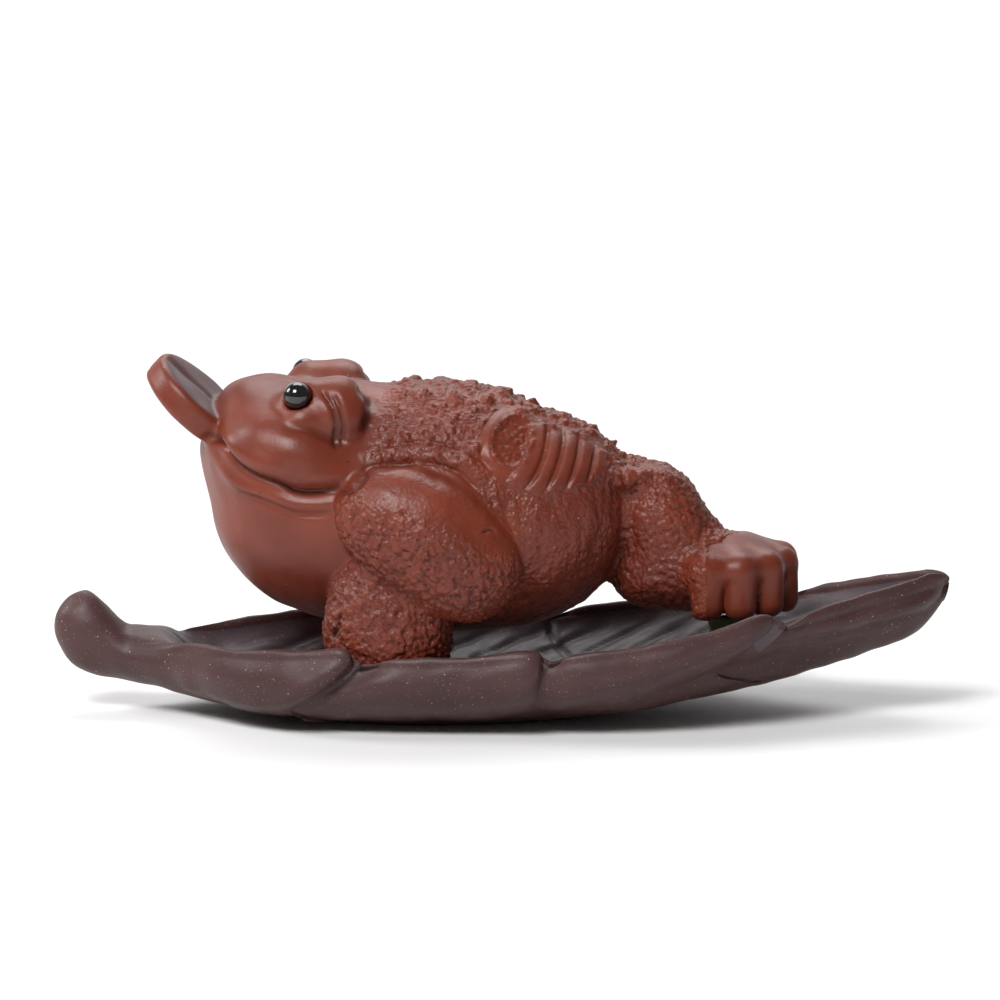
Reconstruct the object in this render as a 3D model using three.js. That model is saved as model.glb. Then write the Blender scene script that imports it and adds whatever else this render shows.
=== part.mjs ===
// Tea pet: a three-legged clay toad with a coin in its mouth, resting on a curled clay leaf.
// Millimetres, +Z up. The head points to -X, the near side is -Y, and the leaf's foot stands at Z = 0.

import * as THREE from 'three';

// Leaf tray
const LEAF_HALF_LENGTH = 80.3;
const LEAF_WALL = 3.6;
const LEAF_FLOOR = 4.4;
const LEAF_BULGE = 3;
const LEAF_LOWEST_X = -12;
const LEAF_SWEEP = 0.00195;
const LEAF_FOOT_DEPTH = 1.1;
const LEAF_RIM = 12.7;
const LEAF_TAIL = { from: -15, sweep: 0.00135 };
const LEAF_FAR_DROP = { depth: 1.2, from: 66, to: 50 };
const LEAF_STEM = { from: -66, to: -74.5, rise: 6.9 };
const LEAF_FILLED = { from: -50, to: -62, crown: 1.5 };
const LEAF_CAP = 0.45;
const LEAF_STEM_END = { height: 14.5, rounding: 6.5 };
const LEAF_TIP_END = { height: 24, rounding: 9 };
const LEAF_HALF_WIDTHS = [
  [-80.3, 5.4], [-70, 5.8], [-60, 9.5], [-55, 15], [-48, 21.5], [-38, 27],
  [-20, 30.5], [5, 31.5], [30, 29.5], [47, 23.5], [60, 15], [70, 9.5], [80.3, 6],
];
const LOBES = [
  { start: -58, end: -24.5, swell: 2.4 },
  { start: -24.5, end: 8.6, swell: 1.4 },
  { start: 8.6, end: 49.5, swell: 2.3 },
];
const LOBE_ROUNDING = 4;
const LOBE_RISE = 0.75;
const LOBE_SPREAD = 0.6;
const LOBE_CURL = { reach: 9, length: 8, fadesFrom: 0.55, fadesTo: 0.95 };
const LEAF_STATIONS = 46;
const LEAF_OUTER_POINTS = 11;
const LEAF_INNER_POINTS = 9;

// Coin, of the same casting as the toad
const COIN_RADIUS = 10.6;
const COIN_THICKNESS = 5;
const COIN_EDGE = 1.3;
const COIN_CENTRE = [-54, 0, 55.4];
const COIN_TILT = 43;
const COIN_ROLL = 6.5;

// Eye beads, each loose in its socket by the gap
const EYE_RADIUS = 2.45;
const EYE_CENTRE = [-35.4, 16.5, 58.9];
const TOUCH_GAP = 0.3;

// Hind foot: a fan of toes about an upright line
const FOOT_CENTRE = [37.7, 0];
const FOOT_UNDERSIDE = 18.4;
const TOE_COUNT = 5;
const TOE_FIRST_ANGLE = 94;
const TOE_STEP = 27;
const TOE_RADIUS = 3;
const TOE_ROOT = { reach: 6.5, height: 28.6 };
const TOE_KNUCKLE = { reach: 12.8, height: 27.2 };
const TOE_TIP = { reach: 12.9, height: 21 };

// Front toes, spread about the forearm
const FRONT_TOE_ANGLES = [-14, 8, 30, 52];
const FRONT_TOE_HEEL = [-21.5, 18.5];
const FRONT_TOE_REACH = 8.8;
const FRONT_TOE_SPREAD = 0.55;
const FRONT_TOE_RADIUS = 2;
const FRONT_TOE_HEIGHT = 8.6;

// Pad between the hind foot and the leaf
const PAD_CENTRE = [40.6, -5];
const PAD_RADIUS = 3.7;
const PAD_WAIST = 3.1;
const PAD_SIDES = 16;
const PAD_SEAT_LEAN = 6;

// Lumps of clay: centre, half-sizes, lean of the long axis in degrees and how softly the lump joins.
const MIDDLE_LUMPS = {
  chest: { at: [-26.8, 0, 38], half: [24.6, 21.5, 21.4], lean: 0, join: 1 },
  throat: { at: [-37.6, 0, 44.6], half: [16.3, 18.5, 11.2], lean: -18, join: 4 },
  barrel: { at: [-7, 0, 36], half: [29, 23.5, 21.2], lean: -4, join: 4 },
  shoulders: { at: [-9, 0, 45.3], half: [18, 19, 13.4], lean: -7, join: 4 },
  rump: { at: [7.7, 0, 34.8], half: [13.8, 20.5, 17.4], lean: -28, join: 5 },
  skull: { at: [-36, 0, 51], half: [14.8, 20.5, 8.2], lean: -6, join: 2 },
  snout: { at: [-41.8, 0, 53.2], half: [9.2, 11.5, 7.4], lean: -8, join: 2 },
  hip: { at: [27.2, 0, 35.8], half: [8.6, 10, 8.4], lean: -44, join: 3 },
  shin: { at: [27.8, 0, 31], half: [6.8, 9.5, 10.5], lean: -8, join: 3 },
  ankle: { at: [32.4, -1, 28], half: [9.2, 10.6, 9], lean: -50, join: 4 },
  foot: { at: [37.8, -1.5, 25], half: [11.5, 11.5, 7], lean: -10, join: 3 },
  heel: { at: [26.8, -1.5, 24.8], half: [6.5, 9, 5.4], lean: 0, join: 3 },
};
const PAIRED_LUMPS = {
  cheek: { at: [-34.5, 12.5, 48], half: [14, 9.8, 6.2], lean: -12, join: 2.5 },
  brow: { at: [-28.6, 12, 54.8], half: [6.4, 7.2, 7], lean: 0, join: 1.4 },
  eye_mound: { at: [-34, 12.6, 56.2], half: [5.2, 5.2, 5.2], lean: 0, join: 2 },
  eye_bag: { at: [-34.4, 16.6, 54.6], half: [3, 2.2, 2], lean: 0, join: 1.5 },
  upper_arm: { at: [-12, 21.5, 34], half: [17.6, 9.4, 11], lean: -30, join: 1.4 },
  elbow: { at: [-7, 22, 28], half: [9, 8, 8], lean: -30, join: 2 },
  forearm: { at: [-19.4, 18, 17.5], half: [11.4, 8.4, 15], lean: 0, join: 1.6 },
  hip_dome: { at: [29, 5.6, 36.4], half: [6, 5, 5.4], lean: -50, join: 4 },
};

// Folds, ridges and cut lines seen from the side: places as [x, z], half-width and height.
const CARVED_LINES = {
  mouth: {
    path: [[-52, 50.6], [-48.5, 50], [-44.8, 46.2], [-38.5, 44], [-34.6, 42.4], [-26.6, 43]],
    width: 0.9,
    height: -0.9,
  },
  upper_lip: {
    path: [[-48.5, 52], [-44.5, 48.3], [-38.5, 46.2], [-34.6, 44.8], [-26, 45.4]],
    width: 1.7,
    height: 0.9,
  },
  mouth_corner: { path: [[-26.6, 43], [-24.6, 44.4], [-22.6, 46.4]], width: 0.9, height: -0.8 },
  brow_crease: { path: [[-24.4, 60.4], [-22.5, 57.6], [-23.4, 52.4]], width: 0.9, height: -1 },
  eye_fold: { path: [[-29.6, 58.6], [-28.7, 55.5], [-27.9, 50.5]], width: 0.8, height: -0.6 },
  cheek_fold: { path: [[-36.5, 53.6], [-29.4, 51.9], [-27.2, 51.2]], width: 0.8, height: -0.5 },
  collar: { path: [[-23, 48.2], [-14, 49.2], [-7, 48.2], [-1.5, 44.4]], width: 1.1, height: 0.7 },
  rump_ribbon: { path: [[17.4, 44.8], [21.4, 43.2], [24.3, 44], [27.2, 44.6]], width: 1.3, height: 1.5 },
};
const CARVED_SIDE = { from: 6, to: 12 };
const CARVED_DEPTH = 4;

// Thigh swirl on each flank: a granular disc in a smooth teardrop, then curved bands behind it
const SWIRL_DISC = { at: [2.4, 50.2], height: 0.5, reach: 24 };
const SWIRL_RING = { radius: 4.3, width: 1.5, height: 1.2 };
const SWIRL_TAIL = { root: [2.4, 51.6], tip: [-6.3, 49.1], width: 1.3, height: 0.9 };
const BANDS = { at: [-3.2, 51.3], first: 8.7, pitch: 2.8, count: 5, height: 1.4 };
const BAND_GROOVE = { width: 0.55, depth: 0.5 };
const BAND_TOP = { angle: 9, step: -2.6, fade: 3 };
const BAND_BOTTOM = { angle: -54, step: 7.5, fade: 8 };

// Big warts: rows along the back, seen from above
const WART_ROWS = [
  { y: 3.2, first: -15.8, count: 7, radius: 1.9 },
  { y: 8.6, first: -13.1, count: 7, radius: 1.7 },
];
const WART_PITCH = 5.4;
const WART_HEIGHT = 0.9;
const WARTS_FROM = { low: 40, high: 46 };
const SPINE_GROOVE = { depth: 0.5, width: 1.2 };

const GRID_CELL = 0.8;
const TOAD_TRIANGLES = 6400;

const smoothUnion = (a, b, k) => {
  const overlap = Math.max(k - Math.abs(a - b), 0) / k;
  return Math.min(a, b) - (overlap * overlap * k) / 4;
};
const smoothCut = (a, cutter, k) => -smoothUnion(-a, cutter, k);
const smoothStep = (low, high, value) => {
  const t = Math.min(Math.max((value - low) / (high - low), 0), 1);
  return t * t * (3 - 2 * t);
};
const bell = (value, width) => Math.exp(-((value / width) ** 2));
const radians = THREE.MathUtils.degToRad;

// A smooth line through a few stations, read at any x.
function through(stations) {
  const slopes = stations.map((_, i) => {
    const before = stations[Math.max(i - 1, 0)];
    const after = stations[Math.min(i + 1, stations.length - 1)];
    return (after[1] - before[1]) / (after[0] - before[0]);
  });
  return (x) => {
    let i = 0;
    while (i < stations.length - 2 && x > stations[i + 1][0]) i += 1;
    const [x0, y0] = stations[i];
    const [x1, y1] = stations[i + 1];
    const width = x1 - x0;
    const t = Math.min(Math.max((x - x0) / width, 0), 1);
    const s = 1 - t;
    const bend = t * s * (s * slopes[i] - t * slopes[i + 1]) * width;
    return s * s * (1 + 2 * t) * y0 + t * t * (1 + 2 * s) * y1 + bend;
  };
}

const leafHalfWidth = through(LEAF_HALF_WIDTHS);

// How far each lobe of the edge has swollen at x: slowly up to its end, then rounded off.
function lobeSwell(x) {
  const lobe = LOBES.find(({ start, end }) => x > start && x < end);
  if (!lobe) return 0;
  const grown = ((x - lobe.start) / (lobe.end - lobe.start)) ** 1.4;
  const last = Math.max(1 - (lobe.end - x) / LOBE_ROUNDING, 0);
  return lobe.swell * grown * Math.sqrt(1 - last * last);
}

// The leaf's cross-section at x on one side: keel and rim heights, half-width, wall, the rim's
// rounded cap, and the hollow's floor and brim, which the stem fills up to a crown.
function leafSection(x, side) {
  const { height, rounding } = x < 0 ? LEAF_STEM_END : LEAF_TIP_END;
  const past = Math.max(Math.abs(x) - LEAF_HALF_LENGTH + rounding, 0) / rounding;
  const end = Math.sqrt(Math.max(1 - past * past, 0.01));
  const stem = LEAF_STEM.rise * smoothStep(LEAF_STEM.from, LEAF_STEM.to, x);
  const tail = LEAF_TAIL.sweep * Math.max(x - LEAF_TAIL.from, 0) ** 2;
  const far = side > 0 ? smoothStep(LEAF_FAR_DROP.from, LEAF_FAR_DROP.to, Math.abs(x)) : 0;
  const keelFree = LEAF_SWEEP * (x - LEAF_LOWEST_X) ** 2 - LEAF_FOOT_DEPTH;
  const rimFree = LEAF_RIM + tail + stem + LOBE_RISE * lobeSwell(x) - LEAF_FAR_DROP.depth * far;
  const keel = height + (keelFree - height) * end;
  const rim = height + (rimFree - height) * end;
  const halfWidth = leafHalfWidth(x) * end + LOBE_SPREAD * lobeSwell(x);
  const wall = Math.min(LEAF_WALL, halfWidth * 0.6);
  const deepest = Math.max(rim - keel, 0.2);
  const filled = smoothStep(LEAF_FILLED.from, LEAF_FILLED.to, x);
  const cap = LEAF_CAP * Math.min(wall, deepest);
  const open = Math.min(LEAF_FLOOR, 0.8 * deepest);
  const floor = keel + open + filled * (deepest + LEAF_FILLED.crown * cap - open);
  return { keel, rim, halfWidth, wall, cap, floor, brim: rim + filled * cap };
}

// Height of the leaf's hollow above the table.
function leafHollow(x, y) {
  const { halfWidth, wall, floor, brim } = leafSection(x, y > 0 ? 1 : -1);
  const across = Math.min(Math.abs(y) / (halfWidth - wall), 1);
  return brim - (brim - floor) * (1 - across ** LEAF_BULGE) ** (1 / LEAF_BULGE);
}

// One point of the leaf's cross-section; turn goes from -90 at the near rim to 90 at the far one.
function leafPoint(u, turn, inner) {
  const side = turn > 0 ? 1 : -1;
  const { keel, rim, halfWidth, wall, floor, brim } = leafSection(u, side);
  const power = 2 / LEAF_BULGE;
  const across = Math.abs(Math.sin(radians(turn))) ** power;
  const depth = Math.max(Math.cos(radians(turn)), 0) ** power;
  const y = side * across * (inner ? halfWidth - wall : halfWidth);
  const z = Math.max(inner ? brim - depth * (brim - floor) : rim - depth * (rim - keel), 0);
  const below = Math.max(rim - z, 0) / Math.max(rim - keel, 1);
  const nearEnd = LOBES.reduce((sum, { end }) => sum + bell(u - end, LOBE_CURL.length), 0);
  const curl = below ** 1.3 * (1 - smoothStep(LOBE_CURL.fadesFrom, LOBE_CURL.fadesTo, below));
  return [u - LOBE_CURL.reach * curl * nearEnd, y, z];
}

function leafRimTop(u, side) {
  const { rim, halfWidth, wall, cap } = leafSection(u, side);
  return [u, side * (halfWidth - wall / 2), rim + cap];
}

// Stations along the leaf, closer together where a lobe ends and where the leaf itself ends.
function leafStations() {
  const stations = [];
  for (let i = 0; i <= LEAF_STATIONS; i += 1) {
    stations.push(-LEAF_HALF_LENGTH * Math.cos((Math.PI * i) / LEAF_STATIONS));
  }
  const crowded = LOBES.flatMap(({ end }) => [-4, -2.2, -1, -0.2, 0.1, 1.2].map((step) => end + step));
  const clear = stations.filter((x) => LOBES.every(({ end }) => x < end - 5 || x > end + 2));
  return [...clear, ...crowded].sort((a, b) => a - b);
}

function leafMesh() {
  const spread = (count) => Array.from({ length: count }, (_, i) => -90 + (180 * i) / (count - 1));
  const rings = leafStations().map((u) => [
    ...spread(LEAF_OUTER_POINTS).map((turn) => leafPoint(u, turn, false)),
    leafRimTop(u, 1),
    ...spread(LEAF_INNER_POINTS).reverse().map((turn) => leafPoint(u, turn, true)),
    leafRimTop(u, -1),
  ]);
  const size = rings[0].length;
  const faces = [];
  for (let i = 0; i < rings.length - 1; i += 1) {
    for (let j = 0; j < size; j += 1) {
      const a = i * size + j;
      const b = i * size + ((j + 1) % size);
      faces.push(a, b, b + size, a, b + size, a + size);
    }
  }
  const points = rings.flat(2);
  [0, rings.length - 1].forEach((i) => {
    const centre = new THREE.Vector3();
    rings[i].forEach((point) => centre.add(new THREE.Vector3(...point).divideScalar(size)));
    points.push(...centre.toArray());
    for (let j = 0; j < size; j += 1) {
      const edge = [i * size + j, i * size + ((j + 1) % size)];
      if (i === 0) edge.reverse();
      faces.push(edge[0], edge[1], points.length / 3 - 1);
    }
  });
  return { points, faces };
}

const prepared = (lumps) => Object.values(lumps).map(({ at, half, lean, join }) => ({
  at, half, join, cos: Math.cos(radians(lean)), sin: Math.sin(radians(lean)),
}));
const middleLumps = prepared(MIDDLE_LUMPS);
const pairedLumps = prepared(PAIRED_LUMPS);

function lumpDistance(lump, x, y, z) {
  const dx = x - lump.at[0];
  const dy = y - lump.at[1];
  const dz = z - lump.at[2];
  const u = (dx * lump.cos + dz * lump.sin) / lump.half[0];
  const v = dy / lump.half[1];
  const w = (dz * lump.cos - dx * lump.sin) / lump.half[2];
  const reach = Math.sqrt(u * u + v * v + w * w);
  const steep = Math.hypot(u / lump.half[0], v / lump.half[1], w / lump.half[2]);
  return steep < 1e-9 ? -Math.min(...lump.half) : (reach * (reach - 1)) / steep;
}

function rodDistance(x, y, z, from, to, radius) {
  const [ax, ay, az] = to.map((value, axis) => value - from[axis]);
  const px = x - from[0];
  const py = y - from[1];
  const pz = z - from[2];
  const along = (px * ax + py * ay + pz * az) / (ax * ax + ay * ay + az * az);
  const t = Math.min(Math.max(along, 0), 1);
  return Math.hypot(px - t * ax, py - t * ay, pz - t * az) - radius;
}

// The coin's own directions: along its rise, across it and square to its face.
const coinAlong = new THREE.Vector3();
const coinAcross = new THREE.Vector3();
const coinNormal = new THREE.Vector3();
new THREE.Matrix4()
  .makeRotationY(radians(COIN_TILT))
  .multiply(new THREE.Matrix4().makeRotationX(radians(COIN_ROLL)))
  .extractBasis(coinAlong, coinAcross, coinNormal);

function coinDistance(x, y, z) {
  const offset = new THREE.Vector3(x, y, z).sub(new THREE.Vector3(...COIN_CENTRE));
  const out = Math.hypot(offset.dot(coinAlong), offset.dot(coinAcross)) - COIN_RADIUS + COIN_EDGE;
  const up = Math.abs(offset.dot(coinNormal)) - COIN_THICKNESS / 2 + COIN_EDGE;
  return Math.hypot(Math.max(out, 0), Math.max(up, 0)) + Math.min(Math.max(out, up), 0) - COIN_EDGE;
}

const carvedLines = Object.values(CARVED_LINES).map(({ path, width, height }) => {
  const curve = new THREE.SplineCurve(path.map(([x, z]) => new THREE.Vector2(x, z)));
  const points = curve.getPoints(14);
  const box = new THREE.Box2().setFromPoints(points).expandByScalar(3 * width);
  return { points, box, width, height };
});

function carvedHeight(x, z) {
  const here = new THREE.Vector2(x, z);
  let height = 0;
  carvedLines.forEach((line) => {
    if (!line.box.containsPoint(here)) return;
    let nearest = Infinity;
    for (let i = 1; i < line.points.length; i += 1) {
      const from = line.points[i - 1];
      const run = line.points[i].clone().sub(from);
      const t = THREE.MathUtils.clamp(here.clone().sub(from).dot(run) / run.lengthSq(), 0, 1);
      nearest = Math.min(nearest, here.distanceTo(from.clone().addScaledVector(run, t)));
    }
    height += line.height * bell(nearest, line.width);
  });
  return height;
}

function swirlHeight(x, z) {
  const fromDisc = Math.hypot(x - SWIRL_DISC.at[0], z - SWIRL_DISC.at[1]);
  if (fromDisc > SWIRL_DISC.reach) return 0;
  const ring = SWIRL_RING.height * bell(fromDisc - SWIRL_RING.radius, SWIRL_RING.width);
  const disc = fromDisc < SWIRL_RING.radius ? SWIRL_DISC.height : 0;
  const toTip = (SWIRL_TAIL.root[0] - x) / (SWIRL_TAIL.root[0] - SWIRL_TAIL.tip[0]);
  const tailLine = SWIRL_TAIL.root[1] + (SWIRL_TAIL.tip[1] - SWIRL_TAIL.root[1]) * toTip;
  const tailReach = smoothStep(0.2, 0.5, toTip) * smoothStep(1.15, 0.9, toTip);
  const tail = SWIRL_TAIL.height * bell(z - tailLine, SWIRL_TAIL.width) * tailReach;
  const angle = THREE.MathUtils.radToDeg(Math.atan2(z - BANDS.at[1], x - BANDS.at[0]));
  const band = (Math.hypot(x - BANDS.at[0], z - BANDS.at[1]) - BANDS.first) / BANDS.pitch;
  const top = BAND_TOP.angle + BAND_TOP.step * Math.max(band, 0);
  const bottom = BAND_BOTTOM.angle + BAND_BOTTOM.step * Math.max(band, 0);
  const across = smoothStep(-0.4, 0, band) * smoothStep(BANDS.count + 0.1, BANDS.count - 0.3, band);
  const along = smoothStep(top + BAND_TOP.fade, top - BAND_TOP.fade, angle)
    * smoothStep(bottom - BAND_BOTTOM.fade, bottom + BAND_BOTTOM.fade, angle);
  const toGroove = Math.abs(band - Math.round(band)) * BANDS.pitch;
  const grooved = band > 0.5 ? BAND_GROOVE.depth * bell(toGroove, BAND_GROOVE.width) : 0;
  const bands = BANDS.height * across * along * (1 - grooved);
  return Math.max(ring, disc, tail, bands);
}

function wartHeight(x, y) {
  let height = 0;
  WART_ROWS.forEach((row) => {
    const nearest = THREE.MathUtils.clamp(Math.round((x - row.first) / WART_PITCH), 0, row.count - 1);
    const away = Math.hypot(x - row.first - nearest * WART_PITCH, y - row.y - 0.7 * Math.sin(2 * nearest));
    height += WART_HEIGHT * bell(away, row.radius * (0.85 + 0.15 * Math.sin(3 * nearest)));
  });
  return height;
}

const hindToes = Array.from({ length: TOE_COUNT }, (_, i) => {
  const angle = radians(TOE_FIRST_ANGLE - i * TOE_STEP);
  return [TOE_ROOT, TOE_KNUCKLE, TOE_TIP].map(({ reach, height }) => [
    FOOT_CENTRE[0] + reach * Math.cos(angle), FOOT_CENTRE[1] - reach * Math.sin(angle), height,
  ]);
});
const frontToes = FRONT_TOE_ANGLES.map((angle) => {
  const [x, y] = FRONT_TOE_HEEL;
  const across = FRONT_TOE_REACH * Math.sin(radians(angle));
  const ahead = FRONT_TOE_REACH * Math.cos(radians(angle));
  return [[x, y, FRONT_TOE_HEIGHT], [x - ahead, y + FRONT_TOE_SPREAD * across, FRONT_TOE_HEIGHT]];
});

function toadDistance(x, y, z) {
  const side = Math.abs(y);
  let clay = 1e3;
  middleLumps.forEach((lump) => {
    clay = smoothUnion(clay, lumpDistance(lump, x, y, z), lump.join);
  });
  pairedLumps.forEach((lump) => {
    clay = smoothUnion(clay, lumpDistance(lump, x, side, z), lump.join);
  });
  if (Math.abs(clay) < CARVED_DEPTH) {
    const outward = smoothStep(CARVED_SIDE.from, CARVED_SIDE.to, side);
    const upper = smoothStep(WARTS_FROM.low, WARTS_FROM.high, z);
    clay -= outward * (carvedHeight(x, z) + swirlHeight(x, z));
    clay -= upper * (wartHeight(x, side) - SPINE_GROOVE.depth * bell(side, SPINE_GROOVE.width));
  }
  clay = smoothUnion(clay, coinDistance(x, y, z), 1.2);
  if (x > 20) {
    hindToes.forEach(([root, knuckle, tip]) => {
      const bar = rodDistance(x, y, z, root, knuckle, TOE_RADIUS);
      const toe = Math.min(bar, rodDistance(x, y, z, knuckle, tip, TOE_RADIUS));
      clay = smoothUnion(clay, toe, 0.6);
    });
    clay = smoothCut(clay, z - FOOT_UNDERSIDE, 0.8);
  }
  if (x < -10 && z < 20) {
    frontToes.forEach(([heel, tip]) => {
      clay = smoothUnion(clay, rodDistance(x, side, z, heel, tip, FRONT_TOE_RADIUS), 0.8);
    });
  }
  const socket = Math.hypot(x - EYE_CENTRE[0], side - EYE_CENTRE[1], z - EYE_CENTRE[2]);
  clay = Math.max(clay, EYE_RADIUS + TOUCH_GAP - socket);
  return z < 26 ? Math.max(clay, leafHollow(x, y) + TOUCH_GAP - z) : clay;
}

// Closed mesh of a form: each cube of the grid is split into six tetrahedra, and each of those
// that the surface passes through gives one or two triangles.
const SPLITS = [[1, 2], [2, 1], [1, 4], [4, 1], [2, 4], [4, 2]].map(([a, b]) => [0, a, a | b, 7]);

function meshOfForm(distance, low, high, cell) {
  const count = low.map((value, axis) => Math.ceil((high[axis] - value) / cell) + 1);
  const strides = [1, count[0], count[0] * count[1]];
  const field = new Float32Array(count[0] * count[1] * count[2]);
  for (let k = 0, n = 0; k < count[2]; k += 1) {
    for (let j = 0; j < count[1]; j += 1) {
      for (let i = 0; i < count[0]; i += 1, n += 1) {
        field[n] = distance(low[0] + i * cell, low[1] + j * cell, low[2] + k * cell) || 1e-6;
      }
    }
  }
  const offsets = Array.from({ length: 8 }, (_, bits) => (
    (bits & 1 ? strides[0] : 0) + (bits & 2 ? strides[1] : 0) + (bits & 4 ? strides[2] : 0)
  ));
  const gridPoint = (n) => new THREE.Vector3(
    low[0] + (n % strides[1]) * cell,
    low[1] + (Math.floor(n / strides[1]) % count[1]) * cell,
    low[2] + Math.floor(n / strides[2]) * cell,
  );
  const places = [];
  const known = new Map();
  const crossing = (corner, a, b) => {
    const [from, to] = a < b ? [a, b] : [b, a];
    const key = (corner + offsets[from]) * 8 + (from ^ to);
    if (!known.has(key)) {
      const [d0, d1] = [field[corner + offsets[from]], field[corner + offsets[to]]];
      const t = THREE.MathUtils.clamp(d0 / (d0 - d1), 0.04, 0.96);
      known.set(key, places.length);
      places.push(gridPoint(corner + offsets[from]).lerp(gridPoint(corner + offsets[to]), t));
    }
    return known.get(key);
  };
  const faces = [];
  const addFace = (a, b, c, toward) => {
    const normal = places[b].clone().sub(places[a]).cross(places[c].clone().sub(places[a]));
    faces.push(...(normal.dot(toward) > 0 ? [a, b, c] : [a, c, b]));
  };
  const addTetrahedron = (corner, inner, outer) => {
    const toward = new THREE.Vector3();
    inner.forEach((bits) => toward.addScaledVector(gridPoint(offsets[bits]), -1 / inner.length));
    outer.forEach((bits) => toward.addScaledVector(gridPoint(offsets[bits]), 1 / outer.length));
    const cuts = inner.map((from) => outer.map((to) => crossing(corner, from, to)));
    if (inner.length === 2) {
      addFace(cuts[0][0], cuts[0][1], cuts[1][1], toward);
      addFace(cuts[0][0], cuts[1][1], cuts[1][0], toward);
    } else {
      addFace(...cuts.flat(), toward);
    }
  };
  for (let k = 0; k < count[2] - 1; k += 1) {
    for (let j = 0; j < count[1] - 1; j += 1) {
      for (let i = 0; i < count[0] - 1; i += 1) {
        const corner = i + j * strides[1] + k * strides[2];
        const within = offsets.map((offset) => field[corner + offset] < 0);
        if (within.includes(true) && within.includes(false)) {
          SPLITS.forEach((split) => {
            const inner = split.filter((bits) => within[bits]);
            const outer = split.filter((bits) => !within[bits]);
            if (inner.length && outer.length) addTetrahedron(corner, inner, outer);
          });
        }
      }
    }
  }
  return { points: places.flatMap((place) => place.toArray()), faces };
}

// A waiting list that gives back its cheapest entry first.
class Queue {
  entries = [];

  add(entry) {
    let at = this.entries.push(entry) - 1;
    while (at > 0) {
      const parent = (at - 1) >> 1;
      if (this.entries[parent].cost <= entry.cost) break;
      this.entries[at] = this.entries[parent];
      at = parent;
    }
    this.entries[at] = entry;
  }

  take() {
    const first = this.entries[0];
    const entry = this.entries.pop();
    const size = this.entries.length;
    if (!size) return first;
    let at = 0;
    for (let child = 1; child < size; child = 2 * at + 1) {
      if (child + 1 < size && this.entries[child + 1].cost < this.entries[child].cost) child += 1;
      if (this.entries[child].cost >= entry.cost) break;
      this.entries[at] = this.entries[child];
      at = child;
    }
    this.entries[at] = entry;
    return first;
  }
}

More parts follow.
